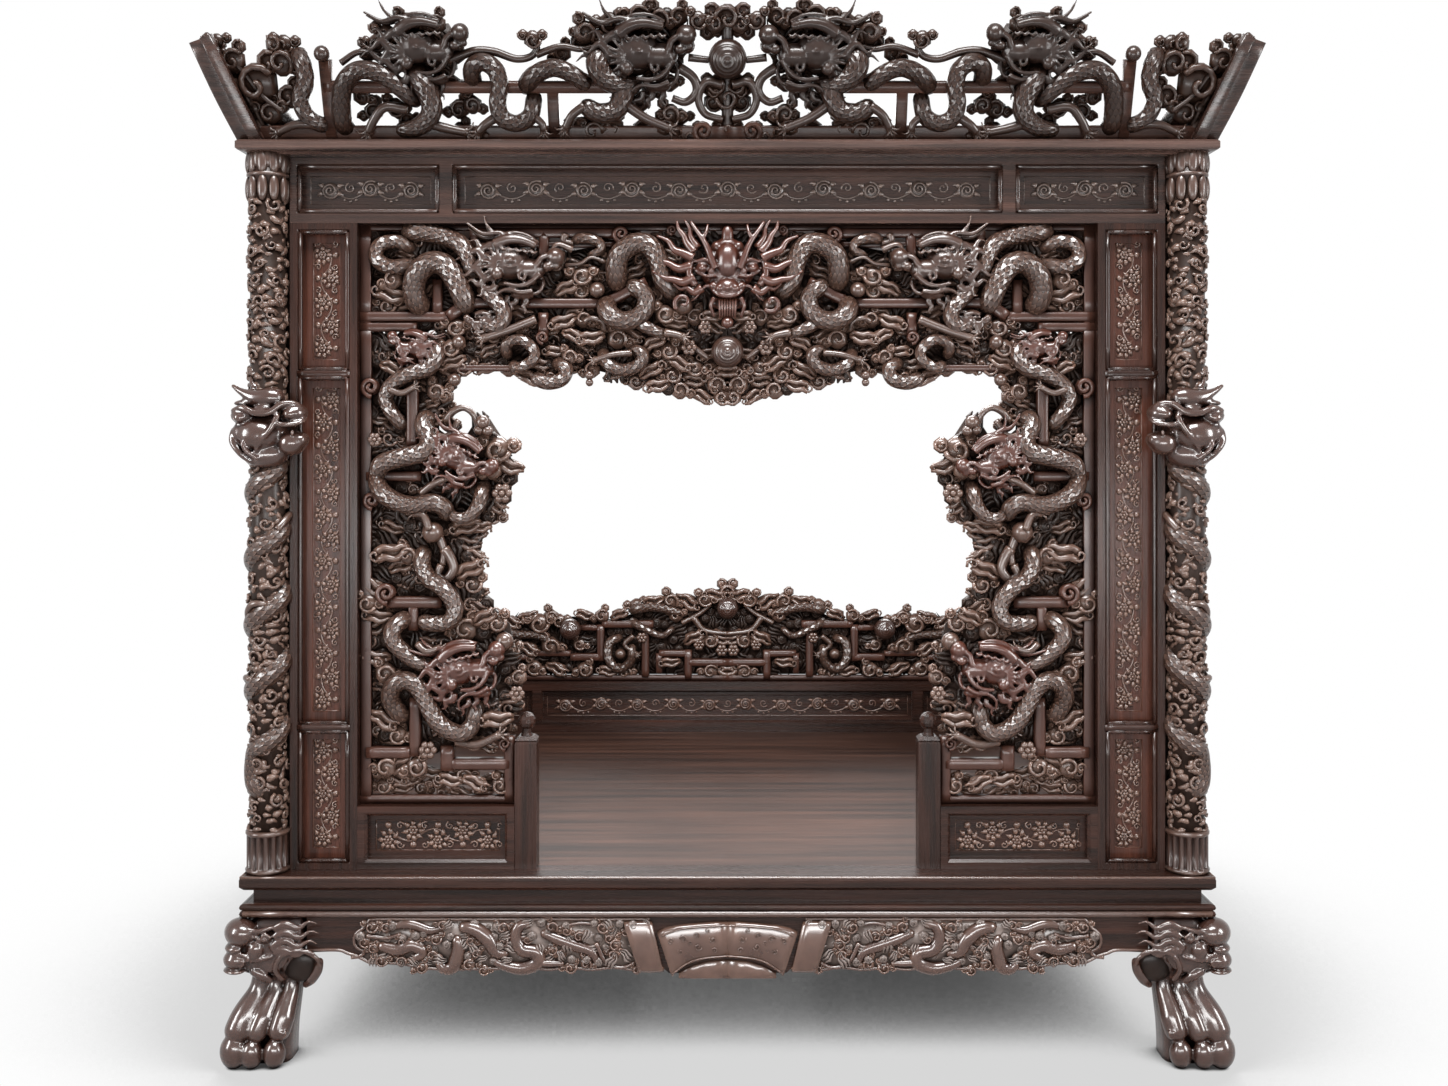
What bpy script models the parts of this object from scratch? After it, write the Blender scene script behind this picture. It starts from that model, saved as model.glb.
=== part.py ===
# Carved rosewood alcove bed: a platform on paw feet, four columns, a pierced dragon front with a doorway,
# a low railing, and a canopy with a flaring crown.
# Metres. +X is the viewer's right, +Y runs from the doorway to the back of the bed, +Z is up.

import math

import bmesh
import bpy
from mathutils import Matrix, Vector
from mathutils.bvhtree import BVHTree
from mathutils.geometry import intersect_ray_tri

GAP = 0.0003                  # clearance where two pieces meet
OVERSHOOT = 0.004             # how far a cutter runs past what it cuts

# Platform
PLATFORM_WIDTH = 2.200
PLATFORM_DEPTH = 1.700
PLATFORM_TOP = 0.425
RAIL_WIDTH = 0.090
RAIL_THICKNESS = 0.032
RAIL_NOSE = 0.008             # rounding of the platform's edge
BOARD_THICKNESS = 0.024
BOARD_SEAM = 0.810            # from the platform's front edge to the joint between the boards
TONGUE = 0.008                # tongue of the boards in the rails: as long as it is thick
BEARER_WIDTH = 0.060
BEARER_HEIGHT = 0.045

# Waist, aprons and legs
WAIST_HEIGHT = 0.031
WAIST_SETBACK = 0.025
ROLL_HEIGHT = 0.0145
APRON_SETBACK = 0.010
APRON_THICKNESS = 0.045
APRON_DROP = 0.130            # apron below the rolls, at its centre
LEG_WIDTH = 0.150
FOOT_REACH = 0.045            # how far the paws stand out past the platform

# Columns
COLUMN_INSET = 0.050          # platform edge to column centre
COLUMN_RADIUS = 0.048
SHAFT_RADIUS = 0.041
REAR_COLUMN_RADIUS = 0.040
COLUMN_BASE_HEIGHT = 0.090
CAPITAL_HEIGHT = 0.098
DRAGON_HEAD_HEIGHT = 1.443    # centre of the head on each front column
DRAGON_HEAD_SIZE = 0.075

# Framed front
FRAME_SETBACK = 0.055         # platform edge to the front face of the frames
FRAME_THICKNESS = 0.060
FRAME_MOULDING = 0.006        # chamfer round each panel
REBATE = 0.007                # seat of a panel behind its frame
PANEL_THICKNESS = 0.014
PANEL_SINK = 0.004            # depth of the carved field in a panel
DOOR_FRAME_WIDTH = 0.154
DOOR_FRAME_STILE = 0.023
DOOR_FRAME_RAIL = 0.020
UPPER_PANEL_HEIGHT = 0.314
LOWER_PANEL_HEIGHT = 0.295
DOOR_PANEL_MARGIN = 0.022
SKIRT_HEIGHT = 0.144
SKIRT_RAIL = 0.022
SKIRT_PANEL_MARGIN = 0.014
DOORWAY_WIDTH = 0.876
POST_WIDTH = 0.050
POST_HEIGHT = 0.302
POST_CAP = 0.008
BALL_RADIUS = 0.0206
DOWEL_RADIUS = 0.007
DOWEL_LENGTH = 0.025

# Pierced carvings of the front
CARVING_DEPTH = 0.090
BAR_DEPTH = 0.046
LINTEL_DROP = 0.423           # lintel carving at the middle of the doorway
LINTEL_END_DROP = 0.224       # lintel carving beside the door frames
LINTEL_SEAM = 0.217           # door frame to the upright joint between lintel and fret
FRET_OVERHANG = 0.038         # how far the fret's lower dragon hangs into the doorway
FRET_BAR = 0.030

# Frieze, cornice and canopy
FRIEZE_BOTTOM = 1.905
FRIEZE_HEIGHT = 0.151
CORNICE_HEIGHT = 0.029
CORNICE_OVERHANG = 0.007
CORNICE_DEPTH = 0.130
FRIEZE_LOWER_RAIL = 0.0275
FRIEZE_UPPER_RAIL = 0.021
FRIEZE_DIVIDER = 0.040
FRIEZE_MIDDLE_WIDTH = 1.250
FRIEZE_PANEL_MARGIN = 0.018
CANOPY_BOARD_THICKNESS = 0.040
CEILING_THICKNESS = 0.014
CEILING_LAP = 0.020

# Crown
CROWN_HEIGHT = 0.275
CROWN_CORNER_HEIGHT = 0.213
CROWN_LEAN = 0.394            # outward run for each unit of rise
CROWN_SETBACK = 0.010
CROWN_THICKNESS = 0.052
CROWN_CARVING_DEPTH = 0.046
CROWN_RAIL = 0.024
CROWN_BOARD = 0.045

# Railing
RAILING_THICKNESS = 0.050
BACK_FRAME_HEIGHT = 0.167
BACK_FRAME_RAIL = 0.036
BACK_FRAME_STILE = 0.040
BACK_MIDDLE_WIDTH = 1.248
BACK_PANEL_MARGIN = 0.012
BACK_CARVING_HEIGHT = 0.320
BACK_CARVING_WIDTH = 1.934
SIDE_RAIL_HEIGHT = 0.420
SIDE_RAIL_THICKNESS = 0.040
SIDE_BAR = 0.034

# Carver's grain: spacing of the skin drawn over the joined strokes of legs and columns
GRAIN = 0.0060
SLIVER = 0.0001               # shortest edge left by joinery on a carving

# Levels and lines that follow from the sizes above
crown_reach = CROWN_LEAN * CROWN_HEIGHT - CROWN_SETBACK
front = (crown_reach - FOOT_REACH - PLATFORM_DEPTH) / 2      # centres the bed between crown and rear paws
back = front + PLATFORM_DEPTH
middle_y = (front + back) / 2
half_width = PLATFORM_WIDTH / 2
half_depth = PLATFORM_DEPTH / 2
rail_bottom = PLATFORM_TOP - RAIL_THICKNESS
leg_top = rail_bottom - WAIST_HEIGHT - 2 * ROLL_HEIGHT
floor_of_frames = PLATFORM_TOP + GAP
column_x = half_width - COLUMN_INSET
column_y = front + COLUMN_INSET
rear_column_y = back - COLUMN_INSET
frame_front = front + FRAME_SETBACK
frame_back = frame_front + FRAME_THICKNESS
frame_middle = (frame_front + frame_back) / 2
frame_outer = column_x - COLUMN_RADIUS - GAP
door_frame_inner = frame_outer - DOOR_FRAME_WIDTH
doorway = DOORWAY_WIDTH / 2
post_outer = doorway + POST_WIDTH
skirt_inner = post_outer + GAP
skirt_top = floor_of_frames + SKIRT_HEIGHT
post_top = floor_of_frames + POST_HEIGHT
frames_top = FRIEZE_BOTTOM - GAP
carving_outer = door_frame_inner - GAP
lintel_seam_x = door_frame_inner - LINTEL_SEAM
fret_top = frames_top - LINTEL_END_DROP - GAP
fret_bottom = skirt_top + GAP
cornice_bottom = FRIEZE_BOTTOM + FRIEZE_HEIGHT
cornice_top = cornice_bottom + CORNICE_HEIGHT
crown_base = cornice_top + GAP
crown_half = half_width - CROWN_SETBACK
railing_front = rear_column_y - RAILING_THICKNESS / 2
railing_back = rear_column_y + RAILING_THICKNESS / 2
back_frame_top = floor_of_frames + BACK_FRAME_HEIGHT


def finish(name, colour, roughness):
    material = bpy.data.materials.new(name)
    material.use_nodes = True
    shader = material.node_tree.nodes["Principled BSDF"]
    shader.inputs["Base Color"].default_value = (*colour, 1.0)
    shader.inputs["Roughness"].default_value = roughness
    shader.inputs["Metallic"].default_value = 0.0
    return material


for leftover in list(bpy.data.objects):
    bpy.data.objects.remove(leftover)

polished = finish("polished_rosewood", (0.085, 0.052, 0.042), 0.32)
carved_wood = finish("carved_rosewood", (0.068, 0.043, 0.036), 0.38)
board_wood = finish("board_rosewood", (0.105, 0.066, 0.055), 0.36)


# Solids

def solid(name, bm, material):
    bmesh.ops.recalc_face_normals(bm, faces=bm.faces)
    mesh = bpy.data.meshes.new(name)
    bm.to_mesh(mesh)
    bm.free()
    mesh.materials.append(material)
    piece = bpy.data.objects.new(name, mesh)
    bpy.context.scene.collection.objects.link(piece)
    return piece


def bake(piece):
    bpy.context.view_layer.update()
    graph = bpy.context.evaluated_depsgraph_get()
    plain = piece.data
    piece.data = bpy.data.meshes.new_from_object(piece.evaluated_get(graph))
    piece.modifiers.clear()
    bpy.data.meshes.remove(plain)


def combine(piece, tool, operation):
    modifier = piece.modifiers.new("joinery", "BOOLEAN")
    modifier.operation = operation
    modifier.solver = "EXACT"
    modifier.object = tool
    bake(piece)
    bpy.data.objects.remove(tool)


def smooth_round(piece, angle=math.radians(35)):
    piece.data.shade_smooth()
    piece.data.set_sharp_from_angle(angle=angle)


def loft(bm, loops):
    rings = [[bm.verts.new(point) for point in loop] for loop in loops]
    for lower, upper in zip(rings, rings[1:]):
        for i in range(len(lower)):
            j = (i + 1) % len(lower)
            bm.faces.new((lower[i], lower[j], upper[j], upper[i]))
    bm.faces.new(tuple(reversed(rings[0])))
    bm.faces.new(tuple(rings[-1]))


def box(bm, low, high):
    low, high = Vector(low), Vector(high)
    place = Matrix.LocRotScale((low + high) / 2, None, high - low)
    bmesh.ops.create_cube(bm, size=1, matrix=place)


def block(name, low, high, material=polished):
    bm = bmesh.new()
    box(bm, low, high)
    return solid(name, bm, material)


def plate(bm, outline, near, far):
    # An upright outline in x and z, given thickness along y
    loft(bm, [[(x, near, z) for x, z in outline], [(x, far, z) for x, z in outline]])


def turned(bm, x, y, profile, sides):
    turns = [2 * math.pi * i / sides for i in range(sides)]
    loft(bm, [[(x + r * math.cos(a), y + r * math.sin(a), z) for a in turns] for r, z in profile])


def rectangle(x0, x1, z0, z1, y, grow):
    return [(x0 - grow, y, z0 - grow), (x1 + grow, y, z0 - grow),
            (x1 + grow, y, z1 + grow), (x0 - grow, y, z1 + grow)]


# The four sides of the bed: quarter turn, half length of the side, distance of its edge from the middle
sides_of_bed = {
    "front": (0.0, half_width, half_depth),
    "right": (math.pi / 2, half_depth, half_width),
    "back": (math.pi, half_width, half_depth),
    "left": (-math.pi / 2, half_depth, half_width),
}


def set_on_side(piece, side):
    turn, _, edge = sides_of_bed[side]
    inward = Matrix.Translation((0, -edge, 0))
    piece.matrix_world = Matrix.Translation((0, middle_y, 0)) @ Matrix.Rotation(turn, 4, "Z") @ inward


def mitred_run(bm, profile, half_length):
    # A moulding whose ends meet their neighbours at 45 degrees: profile is depth from the edge, and height
    ends = [[(end * (half_length - depth - GAP), depth, z) for depth, z in profile] for end in (-1, 1)]
    loft(bm, ends)


# Strokes of the carver

PATTERN_DEPTH = 46            # depth of the bars on every pattern, in millimetres


def smooth_path(points, per_span=4):
    first = points[0] * 2 - points[1]
    last = points[-1] * 2 - points[-2]
    through = [first, *points, last]
    path = []
    for a, b, c, d in zip(through, through[1:], through[2:], through[3:]):
        for i in range(per_span):
            t = i / per_span
            curve = b * 2 + (c - a) * t + (a * 2 - b * 5 + c * 4 - d) * t**2 + (b * 3 - a - c * 3 + d) * t**3
            path.append(curve / 2)
    path.append(points[-1])
    return path


def tube(bm, path, thick, thin, sides=8):
    # A limb along a path, from one thickness to the other, turned as little as it can be
    across = Vector((0.02, 1.0, 0.03))
    loops = []
    for i, point in enumerate(path):
        ahead = path[min(i + 1, len(path) - 1)] - path[max(i - 1, 0)]
        sideways = ahead.cross(across).normalized()
        across = sideways.cross(ahead).normalized()
        radius = thick + (thin - thick) * i / (len(path) - 1)
        turns = [2 * math.pi * k / sides for k in range(sides)]
        loops.append([point + (sideways * math.cos(a) + across * math.sin(a)) * radius for a in turns])
    loft(bm, loops)


def ball(bm, centre, radii):
    bmesh.ops.create_icosphere(bm, subdivisions=2, radius=1, matrix=Matrix.LocRotScale(centre, None, radii))


class Drawing:
    # Strokes of a carving on its pattern, in millimetres: u and v are percent of its width and height

    def __init__(self, bm, left, right, height):
        self.bm = bm
        self.left, self.right = left, right
        self.height = height
        self.along = math.copysign(1.0, right - left)

    def spot(self, u, v, depth=0.0):
        return Vector((self.left + (self.right - self.left) * u / 100, depth, self.height * v / 100))

    def limb(self, radius, *points, tip=1.0, depth=0.0):
        tube(self.bm, smooth_path([self.spot(u, v, depth) for u, v in points]), radius, radius * tip)

    def puffs(self, radius, *points, depth=0.0):
        for u, v in points:
            ball(self.bm, self.spot(u, v, depth), (radius, radius * 0.8, radius))

    def scroll(self, u, v, radius, opening=1.0, turns=1.3):
        # A bar end rolled up: opening is the side on which the roll starts
        centre = self.spot(u, v)
        steps = 14
        path = []
        for i in range(steps + 1):
            angle = 2 * math.pi * turns * i / steps
            r = radius * (1 - 0.7 * i / steps)
            offset = Vector((self.along * opening * math.cos(angle) * r, 0, math.sin(angle) * r))
            path.append(centre + offset)
        tube(self.bm, path, radius * 0.36, radius * 0.3, sides=6)
        ball(self.bm, centre, (radius * 0.5, radius * 0.4, radius * 0.5))

    def bar(self, u0, v0, u1, v1):
        a, b = self.spot(u0, v0), self.spot(u1, v1)
        near, far = -PATTERN_DEPTH / 2, PATTERN_DEPTH / 2
        box(self.bm, (min(a.x, b.x), near, min(a.z, b.z)), (max(a.x, b.x), far, max(a.z, b.z)))

    def ground(self, *outline):
        # Thin wood left standing behind the strokes
        corners = [self.spot(u, v) for u, v in outline]
        near, far = 0.1 * PATTERN_DEPTH, 0.5 * PATTERN_DEPTH
        plate(self.bm, [(corner.x, corner.z) for corner in corners], near, far)

    def head(self, u, v, size, facing=1.0, depth=-10):
        # A dragon's head in profile: skull, snout with its ball nose, jaw, brow, horn and mane
        centre = self.spot(u, v, depth)

        def off(ahead, up):
            return centre + Vector((self.along * facing * ahead * size, 0, up * size))

        ball(self.bm, centre, (0.50 * size, 0.42 * size, 0.42 * size))
        ball(self.bm, off(0.60, -0.02), (0.48 * size, 0.30 * size, 0.26 * size))
        ball(self.bm, off(1.00, 0.10), (0.22 * size, 0.24 * size, 0.22 * size))
        ball(self.bm, off(0.20, 0.34), (0.26 * size, 0.34 * size, 0.18 * size))
        jaw = [off(-0.2, -0.25), off(0.3, -0.42), off(0.8, -0.40)]
        tube(self.bm, smooth_path(jaw), 0.17 * size, 0.12 * size)
        horn = [off(-0.1, 0.3), off(-0.5, 0.6), off(-1.0, 0.7)]
        tube(self.bm, smooth_path(horn), 0.14 * size, 0.08 * size)
        for rise in (0.20, -0.10, -0.42):
            lock = [off(-0.2, rise * 0.6), off(-0.7, rise), off(-1.15, rise * 1.4)]
            tube(self.bm, smooth_path(lock), 0.16 * size, 0.08 * size)


def carved(name, bm, faces, grain=6.0):
    # Draws one skin over all the strokes and keeps its main body, at about this many faces
    piece = solid(name, bm, carved_wood)
    strokes = piece.data.copy()
    for nudge in (1.0, 0.97, 1.03, 0.94, 1.06):
        piece.data = strokes.copy()
        skin = piece.modifiers.new("skin", "REMESH")
        skin.mode = "VOXEL"
        skin.voxel_size = grain * nudge
        rub = piece.modifiers.new("rub", "SMOOTH")
        rub.factor = 0.5
        rub.iterations = 2
        bake(piece)
        main_body(piece)
        facets = piece.modifiers.new("facets", "DECIMATE")
        facets.ratio = faces / (2 * len(piece.data.polygons))
        facets.use_collapse_triangulate = True
        bake(piece)
        if settled(piece):
            break
    bpy.data.meshes.remove(strokes)
    return piece


def fit(piece, pattern, panel, depth, middle, lean=0.0):
    # Stretches a carving from its pattern (left, right, height) to its panel (left, right, bottom, top)
    left, right, bottom, top = panel
    across = (right - left) / (pattern[1] - pattern[0])
    up = (top - bottom) / pattern[2]
    through = depth / PATTERN_DEPTH
    piece.data.transform(Matrix((
        (across, 0, 0, left - across * pattern[0]),
        (0, through, -lean * up, middle),
        (0, 0, up, bottom),
        (0, 0, 0, 1),
    )))
    if across < 0:
        piece.data.flip_normals()


def main_body(piece):
    bm = bmesh.new()
    bm.from_mesh(piece.data)
    unseen = set(bm.verts)
    bodies = []
    while unseen:
        body = []
        reached = [unseen.pop()]
        while reached:
            vert = reached.pop()
            body.append(vert)
            for edge in vert.link_edges:
                other = edge.other_vert(vert)
                if other in unseen:
                    unseen.remove(other)
                    reached.append(other)
        bodies.append(body)
    bodies.sort(key=len)
    for body in bodies[:-1]:
        bmesh.ops.delete(bm, geom=body, context="VERTS")
    bm.to_mesh(piece.data)
    bm.free()


def settled(piece):
    # Eases apart faces that pass through each other, and tells whether the skin is then closed and clear
    bm = bmesh.new()
    bm.from_mesh(piece.data)
    closed = all(edge.is_manifold and edge.is_contiguous for edge in bm.edges)
    clear = eased(bm)
    bm.to_mesh(piece.data)
    bm.free()
    return closed and clear


def eased(bm):
    crossed = crossed_verts(bm)
    rounds = 0
    while crossed and rounds < 20:
        for vert in crossed:
            around = [edge.other_vert(vert).co for edge in vert.link_edges]
            vert.co = vert.co.lerp(sum(around, Vector()) / len(around), 0.4)
        crossed = crossed_verts(bm)
        rounds += 1
    return not crossed


def crossed_verts(bm):
    bm.faces.ensure_lookup_table()
    tree = BVHTree.FromBMesh(bm)
    corners = [set(face.verts) for face in bm.faces]
    found = set()
    for a, b in tree.overlap(tree):
        shared = corners[a] & corners[b]
        if a < b and (not shared or len(shared) == 1 and cut_through(bm.faces[a], bm.faces[b], shared)):
            found |= corners[a] | corners[b]
    return sorted(found, key=lambda vert: vert.index)


def cut_through(face, other, shared):
    # Whether two faces that share one corner also pass through each other
    for one, two in ((face, other), (other, face)):
        start, end = [vert.co for vert in one.verts if vert not in shared]
        run = end - start
        hit = intersect_ray_tri(*[vert.co for vert in two.verts], run, start, True)
        if hit and 0 < (hit - start).dot(run) < run.length_squared:
            return True
    return False


def trimmed(piece, angle):
    # Clears the slivers that joinery leaves on a carving, and shades it
    bm = bmesh.new()
    bm.from_mesh(piece.data)
    bmesh.ops.triangulate(bm, faces=bm.faces)
    bmesh.ops.dissolve_degenerate(bm, dist=SLIVER, edges=bm.edges)
    bmesh.ops.triangulate(bm, faces=bm.faces)
    eased(bm)
    bm.to_mesh(piece.data)
    bm.free()
    smooth_round(piece, angle)


# Base

def platform_rails():
    nose = RAIL_NOSE
    tongue_middle = PLATFORM_TOP - BOARD_THICKNESS / 2
    groove_low = tongue_middle - TONGUE / 2 - GAP
    groove_high = tongue_middle + TONGUE / 2 + GAP
    groove_end = RAIL_WIDTH - TONGUE - 2 * GAP
    profile = [
        (nose, rail_bottom), (0, rail_bottom + nose), (0, PLATFORM_TOP - nose),
        (nose * 0.3, PLATFORM_TOP - nose * 0.3), (nose, PLATFORM_TOP), (RAIL_WIDTH, PLATFORM_TOP),
        (RAIL_WIDTH, groove_high), (groove_end, groove_high), (groove_end, groove_low),
        (RAIL_WIDTH, groove_low), (RAIL_WIDTH, rail_bottom),
    ]
    for side, (_, half_length, _) in sides_of_bed.items():
        bm = bmesh.new()
        mitred_run(bm, profile, half_length)
        set_on_side(solid(f"platform_rail_{side}", bm, polished), side)


def bed_boards():
    edge_x = half_width - RAIL_WIDTH - GAP
    edge_front = front + RAIL_WIDTH + GAP
    edge_back = back - RAIL_WIDTH - GAP
    seam = front + BOARD_SEAM
    low, high = PLATFORM_TOP - BOARD_THICKNESS, PLATFORM_TOP
    tongue_low = (low + high - TONGUE) / 2
    tongue_high = (low + high + TONGUE) / 2
    tongue_x = edge_x + TONGUE
    boards = (
        ("bed_board_front", edge_front, seam - GAP / 2, edge_front - TONGUE, seam - TONGUE),
        ("bed_board_back", seam + GAP / 2, edge_back, seam + TONGUE, edge_back + TONGUE),
    )
    for name, near, far, tongue_near, tongue_far in boards:
        board = block(name, (-edge_x, near, low), (edge_x, far, high), board_wood)
        tongue = block("tongue", (-tongue_x, tongue_near, tongue_low), (tongue_x, tongue_far, tongue_high))
        combine(board, tongue, "UNION")


def bearers():
    top = PLATFORM_TOP - BOARD_THICKNESS - GAP
    near, far = front + RAIL_WIDTH + GAP, back - RAIL_WIDTH - GAP
    for name, x in (("bearer_left", -half_width / 2), ("bearer_right", half_width / 2)):
        block(name, (x - BEARER_WIDTH / 2, near, top - BEARER_HEIGHT), (x + BEARER_WIDTH / 2, far, top))


def apron_profile():
    # The waist and the two rolls above the apron
    inner = APRON_SETBACK + APRON_THICKNESS
    radius = ROLL_HEIGHT / 2
    waist_top = rail_bottom - GAP
    profile = [(inner, leg_top), (inner, waist_top), (WAIST_SETBACK, waist_top)]
    roll_top = leg_top + 2 * ROLL_HEIGHT
    profile.append((WAIST_SETBACK, roll_top))
    for roll in range(2):
        centre = roll_top - radius - roll * ROLL_HEIGHT
        for step in range(5):
            angle = math.pi / 2 - math.pi * step / 4
            if roll and not step:
                continue
            profile.append((radius - radius * math.cos(angle), centre + radius * math.sin(angle)))
    return profile


def apron_edge(half_length):
    # The wavy lower edge: share of the half length between the legs, and share of the drop
    wave = (
        (1.00, 0.60), (0.93, 0.59), (0.88, 0.68), (0.85, 0.80), (0.78, 0.82), (0.70, 0.92), (0.60, 0.92),
        (0.50, 0.89), (0.42, 0.93), (0.38, 0.88), (0.32, 0.93), (0.27, 0.88), (0.20, 0.95), (0.155, 0.88),
        (0.14, 0.98), (0.00, 1.00),
    )
    left = [(-share * half_length, leg_top - drop * APRON_DROP) for share, drop in wave]
    return left + [(-x, z) for x, z in reversed(left[:-1])]


def aprons():
    for side, (_, half_length, _) in sides_of_bed.items():
        bm = bmesh.new()
        mitred_run(bm, apron_profile(), half_length)
        apron = solid(f"apron_{side}", bm, carved_wood)
        span = half_length - LEG_WIDTH - GAP
        top = leg_top + ROLL_HEIGHT
        skirt = bmesh.new()
        outline = [(span, top), (-span, top), *apron_edge(span)]
        plate(skirt, outline, APRON_SETBACK, APRON_SETBACK + APRON_THICKNESS - OVERSHOOT)
        combine(apron, solid("skirt", skirt, carved_wood), "UNION")
        set_on_side(apron, side)


def leg(name, side_x, side_y):
    # Depths from the two outer faces of the platform's corner
    def corner(a, b, z):
        return Vector((side_x * (half_width - a), middle_y + side_y * (half_depth - b), z))

    # Outward sweep of the cabriole: share of the height, and share of the paw's reach
    sweep = (
        (0.00, 0.55), (0.06, 0.85), (0.12, 0.95), (0.18, 0.82), (0.25, 0.50), (0.35, -0.10), (0.44, -0.62),
        (0.50, -0.50), (0.57, -0.05), (0.64, 0.45), (0.75, 0.55), (0.85, 0.50), (0.93, 0.35), (1.00, 0.00),
    )
    bm = bmesh.new()
    loops = []
    for rise, reach in sweep:
        a = -reach * FOOT_REACH
        b = LEG_WIDTH * (1 - 0.15 * max(0.0, 1 - 4 * rise))
        c = 0.3 * (b - a)
        ease = c / 3
        loop = [(a + c, a), (b - ease, a), (b, a + ease), (b, b), (a + ease, b), (a, b - ease), (a, a + c)]
        loops.append([corner(p, q, rise * leg_top) for p, q in loop])
    loft(bm, loops)

    # Everything else is placed in shares of the leg's width and height
    def place(a, b, rise):
        return corner(a * LEG_WIDTH, b * LEG_WIDTH, rise * leg_top)

    toes = (((0.17, 0.17), (-0.19, -0.19)), ((0.38, 0.20), (0.22, -0.21)), ((0.66, 0.20), (0.53, -0.19)))
    for heel, tip in (*toes, *[(heel[::-1], tip[::-1]) for heel, tip in toes[1:]]):
        knuckle = (tip[0] * 0.65 + heel[0] * 0.35, tip[1] * 0.65 + heel[1] * 0.35)
        bend = [place(*heel, 0.42), place(*knuckle, 0.24), place(*tip, 0.07)]
        tube(bm, smooth_path(bend), 0.115 * LEG_WIDTH, 0.145 * LEG_WIDTH)
    # Knee mask: brow, nose, and the cheek and eye on each face
    for a, b, rise, radius in (
        (0.08, 0.08, 0.91, 0.25), (-0.04, -0.04, 0.74, 0.20), (0.33, 0.00, 0.82, 0.15),
        (0.00, 0.33, 0.82, 0.15), (0.54, 0.04, 0.90, 0.14), (0.04, 0.54, 0.90, 0.14),
    ):
        radius *= LEG_WIDTH
        ball(bm, place(a, b, rise), (radius, radius, radius * 0.9))
    box(bm, place(0.15, 0.15, -0.03), place(0.60, 0.60, 0.15))
    piece = carved(name, bm, 250, GRAIN)
    low, high = corner(-FOOT_REACH, -FOOT_REACH, 0.0), corner(LEG_WIDTH, LEG_WIDTH, leg_top - GAP)
    combine(piece, block("room", low, high), "INTERSECT")
    post_start = APRON_SETBACK + APRON_THICKNESS + GAP
    low = corner(post_start, post_start, 0.6 * leg_top)
    high = corner(LEG_WIDTH, LEG_WIDTH, rail_bottom - GAP)
    combine(piece, block("post", low, high), "UNION")
    smooth_round(piece)


# Columns

def column_profile(radius, shaft):
    # A lotus base, a plain shaft and a two-tier lotus capital, as radius and height
    top = cornice_bottom - GAP
    base = floor_of_frames
    rise = COLUMN_BASE_HEIGHT
    capital = CAPITAL_HEIGHT
    return [
        (radius * 0.96, base), (radius * 0.96, base + 0.16 * rise), (radius * 0.84, base + 0.22 * rise),
        (radius * 0.92, base + 0.50 * rise), (radius * 0.84, base + 0.86 * rise),
        (radius, base + 0.92 * rise), (radius, base + rise), (shaft, base + 1.06 * rise), (shaft, top - capital),
        (radius * 0.96, top - 0.80 * capital), (radius * 1.06, top - 0.52 * capital),
        (radius * 0.90, top - 0.46 * capital), (radius * 0.94, top - 0.38 * capital),
        (radius * 1.08, top - 0.12 * capital), (radius * 1.08, top),
    ]


def front_column(name, side):
    x = side * column_x
    bm = bmesh.new()
    turned(bm, x, column_y, column_profile(COLUMN_RADIUS, SHAFT_RADIUS), 12)
    column = solid(name, bm, carved_wood)
    combine(column, column_dragon(side), "UNION")
    low = (side * frame_outer, frame_front - GAP, floor_of_frames - OVERSHOOT)
    high = (side * (frame_outer - DOOR_FRAME_WIDTH), frame_back + GAP, cornice_top)
    combine(column, block("housing", low, high), "DIFFERENCE")
    smooth_round(column)


def column_dragon(side):
    # The body winds up the shaft and ends in a head that looks toward the doorway
    x = side * column_x
    size = DRAGON_HEAD_SIZE
    start, end = floor_of_frames + COLUMN_BASE_HEIGHT * 1.6, DRAGON_HEAD_HEIGHT - 0.6 * size
    body = COLUMN_RADIUS * 0.36
    orbit = COLUMN_RADIUS * 0.72
    turns, steps = 3, 48
    bm = bmesh.new()
    path = []
    for i in range(steps + 1):
        angle = side * 2 * math.pi * turns * i / steps
        offset = Vector((side * math.sin(angle) * orbit, -math.cos(angle) * orbit, 0))
        path.append(Vector((x, column_y, start + (end - start) * i / steps)) + offset)
    path.append(Vector((x, column_y - orbit, DRAGON_HEAD_HEIGHT)))
    tube(bm, path, body * 0.8, body)
    inward = -side
    centre = Vector((x, column_y - COLUMN_RADIUS * 0.7, DRAGON_HEAD_HEIGHT))

    def off(ahead, out, up):
        return centre + Vector((inward * ahead, -out, up)) * size

    ball(bm, off(-0.15, 0.00, 0.00), (0.62 * size, 0.40 * size, 0.62 * size))
    ball(bm, off(0.68, 0.05, 0.28), (0.44 * size, 0.30 * size, 0.26 * size))
    ball(bm, off(0.45, 0.05, -0.45), (0.42 * size, 0.26 * size, 0.22 * size))
    ball(bm, off(-0.55, 0.05, 0.20), (0.24 * size, 0.26 * size, 0.24 * size))
    upper_horn = [off(0.25, 0, 0.75), off(-0.40, 0.1, 0.80), off(-1.15, 0.1, 1.05)]
    tube(bm, smooth_path(upper_horn), 0.30 * size, 0.08 * size)
    lower_horn = [off(0.10, 0, 0.48), off(-0.60, 0.1, 0.52), off(-1.08, 0.1, 0.60)]
    tube(bm, smooth_path(lower_horn), 0.22 * size, 0.10 * size)
    return carved("dragon", bm, 250, GRAIN)


def rear_column(name, side):
    bm = bmesh.new()
    profile = column_profile(REAR_COLUMN_RADIUS, REAR_COLUMN_RADIUS * 0.9)
    turned(bm, side * column_x, rear_column_y, profile, 12)
    smooth_round(solid(name, bm, polished))


# Framed panels

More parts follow.
